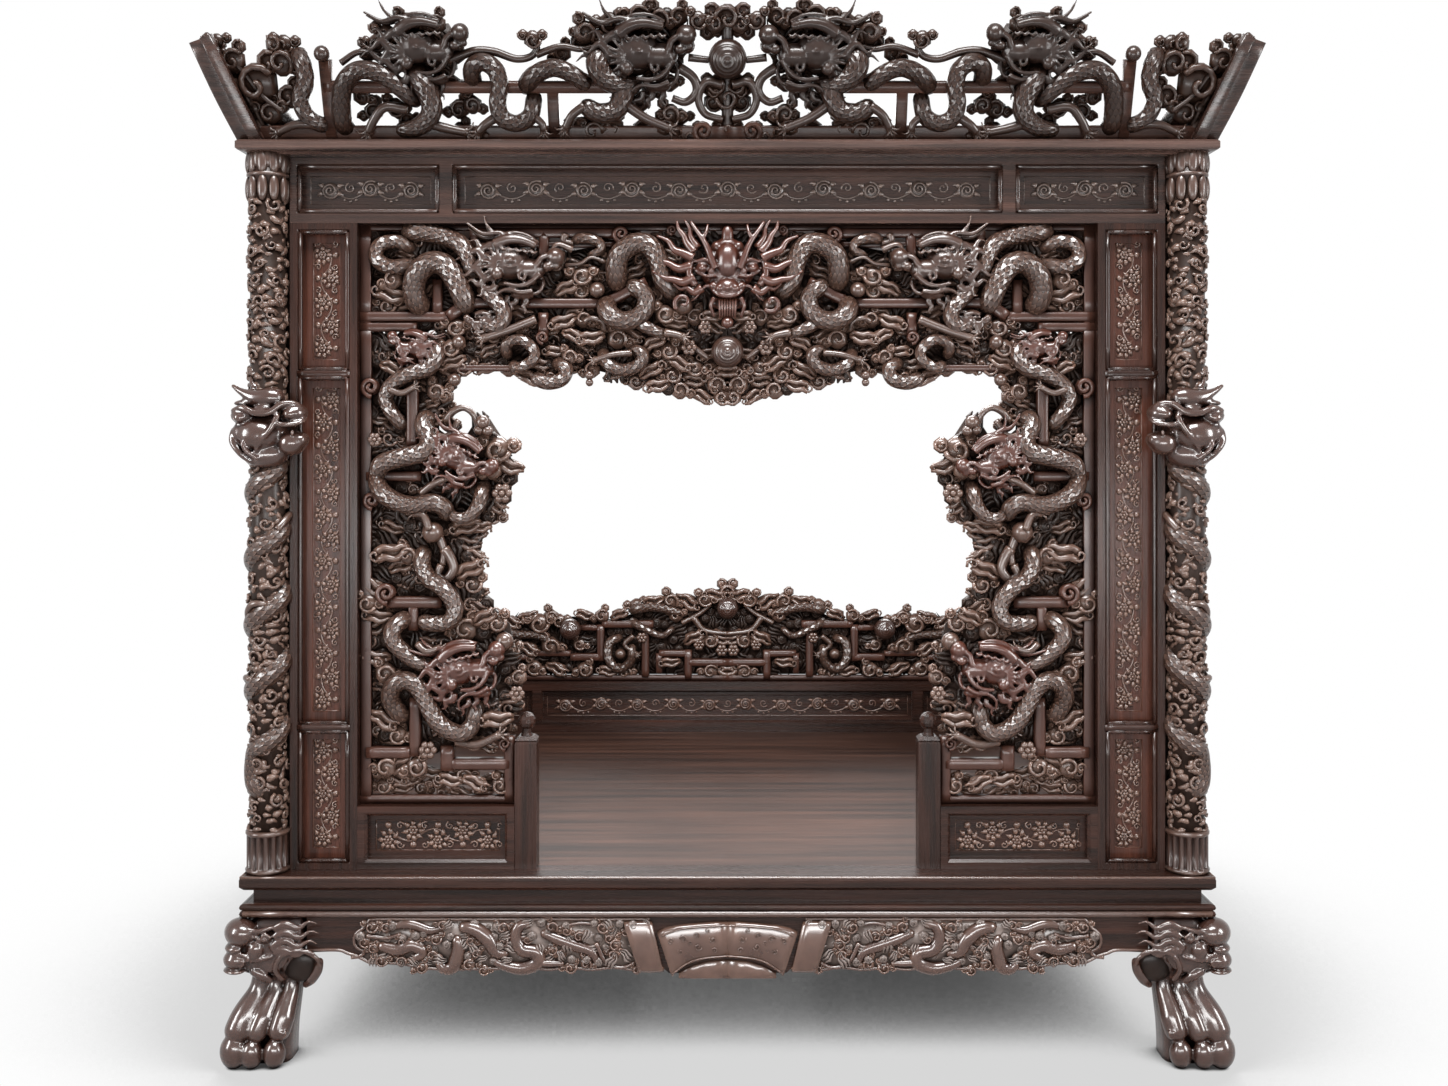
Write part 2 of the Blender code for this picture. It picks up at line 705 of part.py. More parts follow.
def framed(name, low, high, windows, material=polished):
    # A flat frame with a moulded window for each panel, rebated behind: windows are x0, x1, z0 and z1
    frame = block(name, low, high, material)
    near, far = low[1], high[1]
    for x0, x1, z0, z1 in windows:
        seat = rebate_of(near, far)
        levels = ((near - OVERSHOOT, FRAME_MOULDING + OVERSHOOT), (near + FRAME_MOULDING, 0), (seat, 0),
                  (seat, REBATE), (far + OVERSHOOT, REBATE))
        bm = bmesh.new()
        loft(bm, [rectangle(x0, x1, z0, z1, y, grow) for y, grow in levels])
        combine(frame, solid("window", bm, material), "DIFFERENCE")
    return frame


def rebate_of(near, far):
    return near + 0.4 * (far - near)


def panel(name, window, near, far, margin, material=carved_wood):
    # Sits in the rebate behind its window, with a sunk field for the relief
    seat = rebate_of(near, far) + GAP
    seated = REBATE - GAP
    levels = ((seat + PANEL_THICKNESS, seated), (seat, seated), (seat, -margin),
              (seat + PANEL_SINK, -margin - PANEL_SINK / 2))
    bm = bmesh.new()
    loft(bm, [rectangle(*window, y, grow) for y, grow in levels])
    return solid(name, bm, material)


def mirrored(x0, x1, side):
    return (x0, x1) if side > 0 else (-x1, -x0)


def door_frame(hand, side):
    low_z, high_z = floor_of_frames, frames_top
    x0, x1 = mirrored(door_frame_inner, frame_outer, side)
    w0, w1 = x0 + DOOR_FRAME_STILE, x1 - DOOR_FRAME_STILE
    upper = high_z - DOOR_FRAME_RAIL - UPPER_PANEL_HEIGHT
    lower = low_z + DOOR_FRAME_RAIL + LOWER_PANEL_HEIGHT
    windows = {
        "upper": (w0, w1, upper, high_z - DOOR_FRAME_RAIL),
        "middle": (w0, w1, lower + DOOR_FRAME_RAIL, upper - DOOR_FRAME_RAIL),
        "lower": (w0, w1, low_z + DOOR_FRAME_RAIL, lower),
    }
    framed(f"door_frame_{hand}", (x0, frame_front, low_z), (x1, frame_back, high_z), windows.values())
    for place, window in windows.items():
        panel(f"relief_panel_{place}_{hand}", window, frame_front, frame_back, DOOR_PANEL_MARGIN)


def skirt(hand, side):
    x0, x1 = mirrored(skirt_inner, carving_outer, side)
    window = (x0 + SKIRT_RAIL, x1 - SKIRT_RAIL, floor_of_frames + SKIRT_RAIL, skirt_top - SKIRT_RAIL)
    framed(f"skirt_frame_{hand}", (x0, frame_front, floor_of_frames), (x1, frame_back, skirt_top), [window])
    panel(f"skirt_panel_{hand}", window, frame_front, frame_back, SKIRT_PANEL_MARGIN)


def door_post(hand, side):
    x0, x1 = mirrored(doorway, post_outer, side)
    x = (x0 + x1) / 2
    bm = bmesh.new()
    levels = ((floor_of_frames, 0), (post_top - 2 * POST_CAP, 0), (post_top - POST_CAP, -0.5 * POST_CAP),
              (post_top - POST_CAP, 0), (post_top, -POST_CAP))
    loops = []
    for z, grow in levels:
        a, b = x0 - grow, x1 + grow
        c, d = frame_middle - POST_WIDTH / 2 - grow, frame_middle + POST_WIDTH / 2 + grow
        loops.append([(a, c, z), (b, c, z), (b, d, z), (a, d, z)])
    loft(bm, loops)
    post = solid(f"door_post_{hand}", bm, polished)
    hole = bmesh.new()
    bottom = post_top - DOWEL_LENGTH - GAP
    bore = DOWEL_RADIUS + GAP
    turned(hole, x, frame_middle, [(bore, bottom), (bore, post_top + OVERSHOOT)], 12)
    combine(post, solid("hole", hole, polished), "DIFFERENCE")
    finial(f"finial_{hand}", x)


def finial(name, x):
    # A ball on a short neck, with a dowel that drops into the post
    neck = BALL_RADIUS * 0.55
    seat = post_top + GAP
    collar = BALL_RADIUS * 0.3
    centre = seat + 2 * collar + BALL_RADIUS
    profile = [(DOWEL_RADIUS, seat - DOWEL_LENGTH), (DOWEL_RADIUS, seat), (neck * 1.3, seat),
               (neck, seat + collar)]
    start = math.asin(neck / BALL_RADIUS)
    arcs = 6
    for i in range(arcs + 1):
        angle = start + (math.pi - 0.12 - start) * i / arcs
        profile.append((BALL_RADIUS * math.sin(angle), centre - BALL_RADIUS * math.cos(angle)))
    bm = bmesh.new()
    turned(bm, x, frame_middle, profile, 12)
    smooth_round(solid(name, bm, polished))


# Pierced carvings of the front

def fret(hand, side):
    bm = bmesh.new()
    width, height = 359, 1111
    draw = Drawing(bm, 0, width, height)
    # Two grounds, parted by the holes beside the upper dragon's head
    draw.ground((3, 98), (50, 97), (60, 93), (60, 87), (55, 83), (50, 80), (47, 73), (3, 73))
    draw.ground((3, 74), (47, 74), (56, 73), (66, 77), (74, 80), (82, 80), (92, 75), (98, 70), (96, 65),
                (88, 60), (78, 56), (75, 50), (77, 44), (86, 40), (95, 37), (99, 31), (103, 25), (98, 18),
                (90, 13), (3, 13))
    # Fretwork bars and their rolled ends
    for bar in ((30, 73, 38, 88), (4, 67, 44, 69.4), (30, 34, 38, 43), (16, 41, 52, 43.2), (31, 9, 39, 24),
                (5, 9, 39, 11), (53, 7, 62, 13), (53, 7, 95, 9.2)):
        draw.bar(*bar)
    for u, v in ((8, 86), (8, 63.5), (18, 44.5)):
        draw.scroll(u, v, 19)
    # The three winding dragons, from the lintel down
    draw.limb(21, (40, 95), (46, 95.5), (50, 92.5), (45, 90), (34, 88.6), (22, 87), (17, 84), (22, 81),
              (28, 78))
    draw.limb(23, (44, 81), (41, 78), (46, 75), (40, 72.4), (26, 72), (14, 70), (11, 67), (18, 64),
              (32, 62), (48, 62.5), (57, 60), tip=0.8)
    draw.limb(20, (76, 66), (77, 62), (70, 59), (60, 59.5))
    draw.limb(21, (40, 52), (42, 48), (54, 45), (62, 41), (59, 37.5), (46, 37), (30, 38.4), (23, 35.6),
              (28, 32), (38, 29.6), (52, 28.5), tip=0.8)
    draw.limb(23, (30, 17), (22, 19.5), (21, 23), (29, 25.4), (40, 23), (48, 18.5), (60, 15.5), (72, 16),
              (77, 20), (72, 25))
    draw.limb(12, (66, 11.6), (82, 13), (95, 15))
    draw.head(36, 94.6, 44, facing=-1.0)
    draw.head(62, 70.5, 62)
    draw.head(70, 28.5, 70)
    # Clouds: the scalloped edge toward the doorway, those beside the door frame, and those on the sill
    draw.puffs(24, (55, 95), (57, 92), (58, 88.6), (46, 85), (53, 84.4), (48, 80.6), (56, 80.4),
               (64, 81.8), (71, 81.6), (79, 78.8), (88, 73.6), (95, 70), (86, 69), (92, 65), (84, 61))
    draw.puffs(25, (68, 57), (70, 53.4), (60, 55), (48, 57.4), (38, 57), (56, 51.3), (70, 48.7),
               (72, 45.6), (71, 42.4), (70, 39), (79, 38.6), (67, 35.6), (87, 37), (93, 33.8))
    draw.puffs(23, (93, 27), (100, 24), (98, 21), (88, 17.6), (93, 12.6), (80, 21))
    draw.puffs(22, (20, 90.5), (14, 93), (10, 77), (17, 77.5), (12, 58.6), (22, 57), (20.5, 52),
               (30, 51.6), (10, 49), (26, 47), (6.6, 45), (5, 41.6), (11.5, 38.6), (9, 36), (9.5, 30),
               (16.5, 27), (6, 26.8), (14.5, 17.6), (23.5, 14), (44, 11.4))
    draw.puffs(18, (16.5, 6), (26.5, 8), (36.5, 7.5), (47, 5), (56, 4.4), (66, 5.6), (78, 4), (90, 3.4),
               (64, 1.4), (10, 3))
    piece = carved(f"fret_{hand}", bm, 770)
    outer, inner = side * carving_outer, side * skirt_inner
    fit(piece, (0, width, height), (outer, inner, fret_bottom, fret_top), BAR_DEPTH, frame_middle)
    # Its own thin frame: both stiles, the sill, and the rail under the lintel
    near, far = frame_middle - BAR_DEPTH / 2, frame_middle + BAR_DEPTH / 2
    rail = FRET_BAR / 2
    low_stile_top = fret_bottom + 0.14 * (fret_top - fret_bottom)
    head_rail_end = outer + 0.36 * (inner - outer)
    members = (
        (outer, fret_bottom, outer - side * FRET_BAR, fret_top),
        (inner, fret_bottom, inner + side * FRET_BAR, low_stile_top),
        (outer, fret_bottom, inner, fret_bottom + rail),
        (outer, fret_top - rail, head_rail_end, fret_top),
    )
    for x0, z0, x1, z1 in members:
        combine(piece, block("member", (x0, near, z0), (x1, far, z1)), "UNION")
    # The room it may fill: clear of the post and finial below, and of the lintel above
    above_finial = post_top + 3.5 * BALL_RADIUS
    below_lintel = frames_top - LINTEL_DROP
    bulge = side * (skirt_inner - FRET_OVERHANG)
    seam = side * (lintel_seam_x + GAP)
    room = [(outer, fret_bottom), (inner, fret_bottom), (inner, above_finial), (bulge, above_finial),
            (bulge, below_lintel), (seam, below_lintel), (seam, fret_top), (outer, fret_top)]
    keep_inside(piece, room)


def keep_inside(piece, outline):
    bm = bmesh.new()
    plate(bm, outline, frame_middle - CARVING_DEPTH / 2, frame_middle + CARVING_DEPTH / 2)
    combine(piece, solid("room", bm, carved_wood), "INTERSECT")
    main_body(piece)
    trimmed(piece, math.radians(50))


def lintel():
    bm = bmesh.new()
    half, height = 847, 423
    for side in (-1, 1):
        draw = Drawing(bm, side * half, 0, height)
        draw.ground((3, 55), (3, 72), (30, 72), (31, 84), (50, 84), (72, 92), (101, 96), (101, 5), (96, 5),
                    (92, 7), (89, 10), (86, 11), (82, 11), (78, 14), (74, 16), (70, 18), (64, 21), (57, 23),
                    (51, 17), (47, 17), (43, 21), (40, 24), (28, 24), (24, 55))
        for bar in ((19.5, 50, 22.5, 72), (26, 56, 40, 60.5), (44, 55, 66, 59), (30, 94, 71, 98.5),
                    (48.5, 84, 51, 97), (48.5, 37, 51, 52), (27, 21, 42, 25)):
            draw.bar(*bar)
        draw.scroll(71.5, 93.5, 19, opening=-1)
        # Tail ring, great arch and body of the outer dragon
        draw.limb(16, (13, 87), (9, 91), (5, 87), (5, 80), (9, 76), (15, 77.5), tip=1.3)
        draw.limb(22, (12, 97), (21, 95.5), (28, 90.5), (31, 83), (30, 72), (29, 60))
        draw.limb(26, (17, 55), (15, 64), (16.5, 75), (21, 79), (25, 75), (27, 66), (27, 57))
        draw.limb(20, (33, 68), (37, 59), (39.5, 50), (37, 45), (30, 46))
        draw.limb(12, (46, 50), (40, 43), (33, 38))
        draw.limb(13, (39, 30), (40, 37), (44, 37.5), (46, 31), (44, 24), (41, 22))
        draw.head(42, 77, 62)
        draw.limb(13, (54, 86), (58, 91), (64, 91), (67, 84), (62, 77), (55, 72), (47, 68))
        # Inner dragon that arches up beside the mask
        draw.limb(24, (66, 60), (69, 74), (71, 84), (75, 90), (80, 88), (82, 78), (83, 66), (86, 58))
        draw.limb(23, (64, 62), (66, 54), (70, 50), (75, 50), (78, 57), (77, 64), (70, 69))
        draw.limb(16, (77, 50), (82, 45), (88, 40), (94, 36))
        draw.limb(13, (71, 36), (69, 27), (72, 20), (77, 23), (77, 31), (72, 36), (66, 42))
        # Mane of the mask in the middle
        for spread in ((88, 92), (85, 82), (85, 72), (88, 62)):
            draw.limb(14, (97, 78), (92, 0.5 * (78 + spread[1])), spread, tip=0.5)
        draw.puffs(17, (95.5, 86.5), (95, 70))
        # Cloud fill, then the scalloped lower edge
        draw.puffs(20, (9, 58), (8, 68), (12, 52), (33, 84), (36, 90), (26, 44), (24, 42), (30, 38),
                   (27, 32), (35, 30), (47, 45), (53, 50), (56, 45), (61, 48), (55, 38), (60, 38),
                   (64, 42), (68, 40), (72, 44), (56, 62), (61, 66), (58, 74), (84, 50), (89, 52),
                   (90, 46), (94, 52), (86, 38), (92, 40), (80, 38), (58, 84))
        draw.puffs(17, (27, 22), (31, 21), (35, 22), (43, 19), (47, 17), (51, 16), (55, 18), (54, 25),
                   (50, 24), (58, 27), (52, 31), (62, 19), (64, 27), (62, 33), (67, 21), (70, 17),
                   (74, 15), (78, 13), (82, 10), (86, 9.5), (89, 8.5), (92, 6), (96, 4.5), (100, 4.5),
                   (80, 22), (84, 18), (88, 17), (92, 14), (96, 12), (100, 13), (82, 28), (87, 26),
                   (91, 22), (86, 32), (91, 30), (95, 20))
    # The mask itself: brow, nose and jaw, with the pearl below its beard
    draw = Drawing(bm, 0, half, height)
    ball(bm, draw.spot(0, 84, -12), (50, 36, 42))
    ball(bm, draw.spot(0, 74, -26), (30, 26, 46))
    ball(bm, draw.spot(0, 65, -10), (48, 32, 26))
    draw.limb(30, (0, 62), (0, 50), (0, 40), tip=0.7)
    ball(bm, draw.spot(0, 30, -8), (40, 36, 40))
    draw.limb(16, (0, 98), (0, 88))
    piece = carved("fret_lintel", bm, 1190)
    top, bottom = frames_top, frames_top - LINTEL_DROP
    panel_edges = (-carving_outer, carving_outer, bottom, top)
    fit(piece, (-half, half, height), panel_edges, BAR_DEPTH, frame_middle)
    near, far = frame_middle - BAR_DEPTH / 2, frame_middle + BAR_DEPTH / 2
    end = top - LINTEL_END_DROP
    rail = FRET_BAR * 0.7
    for side in (-1, 1):
        outer = side * carving_outer
        seam = side * lintel_seam_x
        combine(piece, block("stile", (outer, near, end), (outer - side * FRET_BAR, far, top)), "UNION")
        combine(piece, block("rail", (outer, near, end), (seam, far, end + rail)), "UNION")
    combine(piece, block("rail", (-carving_outer, near, top - rail / 2), (carving_outer, far, top)), "UNION")
    room = [(-carving_outer, top), (-carving_outer, end), (-lintel_seam_x, end), (-lintel_seam_x, bottom),
            (lintel_seam_x, bottom), (lintel_seam_x, end), (carving_outer, end), (carving_outer, top)]
    keep_inside(piece, room)


# Frieze, cornice and canopy

def frieze():
    top = cornice_bottom - GAP
    z0, z1 = FRIEZE_BOTTOM + FRIEZE_LOWER_RAIL, top - FRIEZE_UPPER_RAIL
    inner = FRIEZE_MIDDLE_WIDTH / 2
    start, stop = inner + FRIEZE_DIVIDER, frame_outer - FRIEZE_UPPER_RAIL
    windows = {
        "left": (-stop, -start, z0, z1),
        "middle": (-inner, inner, z0, z1),
        "right": (start, stop, z0, z1),
    }
    low, high = (-frame_outer, frame_front, FRIEZE_BOTTOM), (frame_outer, frame_back, top)
    framed("frieze_frame", low, high, windows.values())
    for place, window in windows.items():
        panel(f"frieze_panel_{place}", window, frame_front, frame_back, FRIEZE_PANEL_MARGIN)


def cornice_profile():
    # Depth from the platform's edge: a lip, a cove and a flat band, with a seat for the ceiling behind
    lip = -CORNICE_OVERHANG
    low, high = cornice_bottom, cornice_top
    seat = high - CEILING_THICKNESS
    return [
        (0.020, low), (0.014, low + 0.10 * CORNICE_HEIGHT), (lip + 0.004, low + 0.22 * CORNICE_HEIGHT),
        (lip, low + 0.34 * CORNICE_HEIGHT), (lip, high - 0.16 * CORNICE_HEIGHT), (lip + 0.005, high),
        (CORNICE_DEPTH - CEILING_LAP, high), (CORNICE_DEPTH - CEILING_LAP, seat), (CORNICE_DEPTH, seat),
        (CORNICE_DEPTH, low),
    ]


def canopy():
    names = {"front": "cornice_front", "left": "canopy_rail_left", "right": "canopy_rail_right",
             "back": "canopy_rail_back"}
    for side, name in names.items():
        _, half_length, _ = sides_of_bed[side]
        bm = bmesh.new()
        mitred_run(bm, cornice_profile(), half_length)
        rail = solid(name, bm, polished)
        if side != "front":
            # Below the cornice, a plain frieze board between the columns
            reach = half_length - COLUMN_INSET - 1.1 * COLUMN_RADIUS - GAP
            near = COLUMN_INSET - CANOPY_BOARD_THICKNESS / 2
            low = (-reach, near, FRIEZE_BOTTOM)
            high = (reach, near + CANOPY_BOARD_THICKNESS, cornice_bottom + CORNICE_HEIGHT / 3)
            combine(rail, block("board", low, high), "UNION")
        set_on_side(rail, side)
    edge = CORNICE_DEPTH - CEILING_LAP + GAP
    low = (-half_width + edge, front + edge, cornice_top - CEILING_THICKNESS + GAP)
    high = (half_width - edge, back - edge, cornice_top)
    block("ceiling_panel", low, high, board_wood)


# Crown: every part of it lies in a leaning slab, whose outer face starts at the cornice

def leaning_room(bm, near_end, far_end, low, high, depth):
    # near_end and far_end: half length at the base, and whether that end is mitred (1) or square (0)
    loops = []
    for z in (low, high):
        rise = CROWN_LEAN * (z - crown_base)
        loop = []
        for y in (0, depth):
            spread = [length + mitre * (rise - y) for length, mitre in (near_end, far_end)]
            ends = [(-spread[0], CROWN_SETBACK - rise + y, z), (spread[1], CROWN_SETBACK - rise + y, z)]
            loop.extend(ends if not y else reversed(ends))
        loops.append(loop)
    loft(bm, loops)


def crown_board(bm, end, length):
    # The slanted board at a mitred corner, in the plane of the crown
    high = crown_base + CROWN_CORNER_HEIGHT
    lean = CROWN_LEAN * CROWN_CORNER_HEIGHT
    board = 0.4 * CROWN_THICKNESS
    foot = [(end * length, crown_base), (end * (length - CROWN_BOARD), crown_base)]
    tip = [(end * (length + lean - 0.5 * CROWN_BOARD), high), (end * (length + lean), high)]
    loops = []
    for y in (0, board):
        outline = [(x, CROWN_SETBACK - CROWN_LEAN * (z - crown_base) + y, z) for x, z in foot + tip]
        loops.append(outline)
    loft(bm, loops)


def finish_crown(piece, near_end, far_end, side):
    bm = bmesh.new()
    leaning_room(bm, near_end, far_end, crown_base, crown_base + CROWN_RAIL, CROWN_THICKNESS)
    combine(piece, solid("rail", bm, carved_wood), "UNION")
    for end, (length, mitre) in ((-1, near_end), (1, far_end)):
        if mitre:
            bm = bmesh.new()
            crown_board(bm, end, length)
            combine(piece, solid("board", bm, carved_wood), "UNION")
    bm = bmesh.new()
    leaning_room(bm, near_end, far_end, crown_base, crown_base + CROWN_HEIGHT, CROWN_THICKNESS)
    combine(piece, solid("room", bm, carved_wood), "INTERSECT")
    trimmed(piece, math.radians(50))
    set_on_side(piece, side)


def crown_front():
    bm = bmesh.new()
    width, height = 1090, 275
    for side in (-1, 1):
        draw = Drawing(bm, side * width, 0, height)
        draw.ground((24, 58), (28, 76), (40, 88), (46, 76), (44, 58))
        draw.ground((70, 58), (73, 82), (80, 90), (91, 90), (101, 92), (101, 58))
        # Lattice behind the dragons
        draw.limb(12, (16, 38), (40, 38), (75, 38), (92, 38))
        draw.limb(11, (17.5, 2), (17.5, 58))
        draw.puffs(17, (17.3, 62))
        draw.limb(11, (63.6, 2), (63.6, 36))
        # Outer dragon: tail, arched body, belly, forelegs and head
        draw.limb(20, (12, 68), (13.5, 52), (12, 34), (14, 18), (18, 10))
        draw.limb(22, (21, 4), (21, 30), (22, 48), (27, 56), (32, 52), (37, 40))
        draw.limb(30, (36, 50), (39, 30), (38, 14), (32, 10), tip=0.5)
        draw.limb(13, (34, 30), (29, 28), (26, 16), (25, 6))
        draw.limb(14, (38, 16), (43, 12), (49, 6))
        draw.head(38, 72, 72)
        # Whisker that rolls up between the two dragons
        draw.limb(11, (42, 60), (48, 69), (54, 66), (59, 64), (61, 72), (59, 78))
        # Inner dragon: looping body, arch, forelegs and head
        draw.limb(19, (50, 52), (53, 56), (53.5, 40), (51, 24), (56, 13), (61, 24), (62, 36))
        draw.limb(21, (58, 36), (60, 50), (64, 58), (69, 52), (72, 40))
        draw.limb(12, (64, 56), (67, 66), (72, 68), (78, 66))
        draw.limb(13, (66, 6), (69, 24), (74, 30), (79, 26))
        draw.limb(28, (76, 54), (78, 36), (76, 20), (82, 8), tip=0.5)
        draw.head(81, 71, 80)
        # Arms that hold the pearl in the middle
        draw.limb(12, (88, 60), (93, 48), (92, 34), (88, 26), (84, 12))
        draw.limb(10, (90, 66), (96, 66), (101, 66))
        draw.limb(12, (98, 44), (94, 34), (94, 18), (97, 6))
        # Clouds: the corner group, the upper edge, and the feet on the rail
        draw.puffs(34, (3, 44), (8, 58), (4, 60))
        draw.puffs(22, (-4, 68), (-2, 58), (7, 30), (8, 14), (10, 68), (-1, 40), (3, 24))
        draw.puffs(24, (26, 70), (29, 76), (33, 82), (40, 88), (44, 84), (60, 70), (70, 72), (73, 82),
                   (80, 90), (86, 92), (91, 90), (95, 88), (98, 92))
        draw.puffs(17, (25, 10), (31, 8), (43, 8), (49, 6), (57, 10), (68, 8), (76, 8), (84, 10),
                   (90, 6), (96, 8), (47, 32), (84, 34), (90, 22))
    # The pearl, the flower above it and the knot below
    draw = Drawing(bm, 0, width, height)
    ball(bm, draw.spot(0, 68, -8), (40, 36, 40))
    ball(bm, draw.spot(0, 92, -10), (52, 46, 42))
    ball(bm, draw.spot(0, 40), (44, 24, 50))
    draw.limb(16, (0, 96), (0, 50), (0, 4))
    piece = carved("crown_front", bm, 940)
    half = crown_half - GAP
    fit_crown(piece, (-width, width, height), (-half, half), CROWN_HEIGHT)
    finish_crown(piece, (half, 1), (half, 1), "front")


def fit_crown(piece, pattern, ends, height):
    panel_edges = (*ends, crown_base, crown_base + height)
    middle = CROWN_SETBACK + CROWN_THICKNESS / 2
    fit(piece, pattern, panel_edges, CROWN_CARVING_DEPTH, middle, CROWN_LEAN)


def crown_side(hand, forward):
    # forward: the end of the run, in its own frame, that meets the front crown
    bm = bmesh.new()
    width, height = 1640, 213
    draw = Drawing(bm, 0, width, height)
    draw.limb(12, (8, 46), (50, 46), (99, 46))
    for u in (12, 34, 66, 98.5):
        draw.limb(11, (u, 2), (u, 62))
    draw.limb(21, (13, 6), (15, 40), (20, 68), (26, 60), (28, 30), (34, 14), (40, 30), (42, 56))
    draw.head(46, 74, 66)
    draw.limb(21, (98, 10), (92, 24), (90, 50), (84, 70), (78, 58), (76, 28), (70, 14), (65, 30),
              (64, 50), (60, 62))
    draw.puffs(26, (3, 50), (6, 66), (2, 24), (54, 44), (54, 22), (50, 10), (96, 66))
    draw.puffs(18, (20, 8), (28, 10), (48, 26), (60, 10), (72, 8), (84, 10), (8, 30), (8, 10))
    draw.head(57, 74, 60, facing=-1.0)
    piece = carved(f"crown_{hand}", bm, 340)
    half = half_depth - CROWN_SETBACK - GAP
    rear = half_depth - COLUMN_INSET
    fit_crown(piece, (0, width, height), (forward * half, -forward * rear), CROWN_CORNER_HEIGHT)
    near_end, far_end = ((rear, 0), (half, 1)) if forward > 0 else ((half, 1), (rear, 0))
    finish_crown(piece, near_end, far_end, hand)


# Railing

def back_rail():
    half = column_x - REAR_COLUMN_RADIUS - GAP
    inner = BACK_MIDDLE_WIDTH / 2
    z0, z1 = floor_of_frames + BACK_FRAME_RAIL, back_frame_top - BACK_FRAME_RAIL
    start, stop = inner + BACK_FRAME_STILE, half - BACK_FRAME_STILE
    windows = {
        "left": (-stop, -start, z0, z1),
        "middle": (-inner, inner, z0, z1),
        "right": (start, stop, z0, z1),
    }
    low, high = (-half, railing_front, floor_of_frames), (half, railing_back, back_frame_top)
    framed("back_rail_frame", low, high, windows.values())
    for place, window in windows.items():
        panel(f"back_panel_{place}", window, railing_front, railing_back, BACK_PANEL_MARGIN)


def back_carving():
    bm = bmesh.new()
    width, height = 967, 320
    for side in (-1, 1):
        draw = Drawing(bm, side * width, 0, height)
        draw.ground((4, 6), (4, 30), (12, 50), (24, 66), (34, 70), (46, 70), (54, 66), (62, 68),
                    (70, 78), (80, 86), (92, 90), (101, 94), (101, 6))
        for bar in ((53.5, 2, 57, 66), (44, 22, 55, 28), (44, 56, 56, 62), (44, 24, 47, 60), (56, 59, 88, 65),
                    (70, 2, 73, 63), (85, 2, 88, 34), (74, 28, 88, 33), (4, 30, 44, 36), (12, 2, 15, 34),
                    (30, 2, 33, 34)):
            draw.bar(*bar)
        turns = [i * math.pi / 6 for i in range(13)]
        draw.limb(11, *[(62.5 + 4.5 * math.cos(angle), 30 + 14 * math.sin(angle)) for angle in turns])
        draw.limb(11, (56, 30), (58.5, 30))
        draw.limb(11, (66.5, 30), (71, 30))
        draw.puffs(34, (45, 55), (98, 77))
        draw.puffs(26, (20, 62), (26, 68), (33, 64), (38, 68), (30, 52), (36, 46), (24, 44), (14, 48),
                   (16, 58), (8, 40), (50, 68), (55, 70), (61, 70), (67, 76), (71, 82), (76, 86),
                   (81, 82), (86, 84), (91, 86), (95, 92), (99, 94))
        draw.puffs(24, (76, 72), (83, 72), (90, 70), (80, 48), (83, 42), (94, 62), (90, 48), (95, 42),
                   (99, 50), (96, 30), (92, 18), (97, 10), (20, 12), (24, 22), (38, 14), (44, 10),
                   (50, 12), (78, 14), (80, 22))
        draw.limb(20, (99, 66), (94, 56), (99, 42), (97, 24), (99, 8))
    piece = carved("back_carving", bm, 460)
    bottom, top = back_frame_top + GAP, back_frame_top + GAP + BACK_CARVING_HEIGHT
    half = BACK_CARVING_WIDTH / 2
    fit(piece, (-width, width, height), (-half, half, bottom, top), BAR_DEPTH, rear_column_y)
    near, far = rear_column_y - BAR_DEPTH / 2, rear_column_y + BAR_DEPTH / 2
    combine(piece, block("sill", (-half, near, bottom), (half, far, bottom + 0.4 * FRET_BAR)), "UNION")
    room = block("room", (-half, railing_front, bottom), (half, railing_back, top))
    combine(piece, room, "INTERSECT")
    trimmed(piece, math.radians(50))


def side_rail(hand, side):
    # A low railing between the columns: a solid lower board, and open fretwork above it
    near = column_y + COLUMN_RADIUS + GAP
    far = rear_column_y - REAR_COLUMN_RADIUS - GAP
    x0, x1 = side * column_x - SIDE_RAIL_THICKNESS / 2, side * column_x + SIDE_RAIL_THICKNESS / 2
    low, high = floor_of_frames, floor_of_frames + SIDE_RAIL_HEIGHT
    rail = block(f"side_rail_{hand}", (x0, near, low), (x1, far, high), polished)
    bays = 6
    bay = (far - near - SIDE_BAR) / bays
    sill = low + BACK_FRAME_HEIGHT
    middle = (sill + high) / 2
    rows = ((sill, middle - SIDE_BAR / 2), (middle, high - SIDE_BAR))
    for i in range(bays):
        for row, (z0, z1) in enumerate(rows):
            y0 = near + SIDE_BAR + i * bay
            y1 = y0 + bay - SIDE_BAR
            if (i + row) % 2:
                y0, y1 = y0 + 0.2 * bay, y1 - 0.2 * bay
            window = block("window", (x0 - OVERSHOOT, y0, z0), (x1 + OVERSHOOT, y1, z1))
            combine(rail, window, "DIFFERENCE")


platform_rails()
bed_boards()
bearers()
aprons()
for hand, side in (("left", -1), ("right", 1)):
    leg(f"leg_front_{hand}", side, -1)
    leg(f"leg_back_{hand}", side, 1)
    front_column(f"column_front_{hand}", side)
    rear_column(f"column_back_{hand}", side)
    door_frame(hand, side)
    skirt(hand, side)
    door_post(hand, side)
    fret(hand, side)
    crown_side(hand, -side)
    side_rail(hand, side)
lintel()
frieze()
canopy()
crown_front()
back_rail()
back_carving()
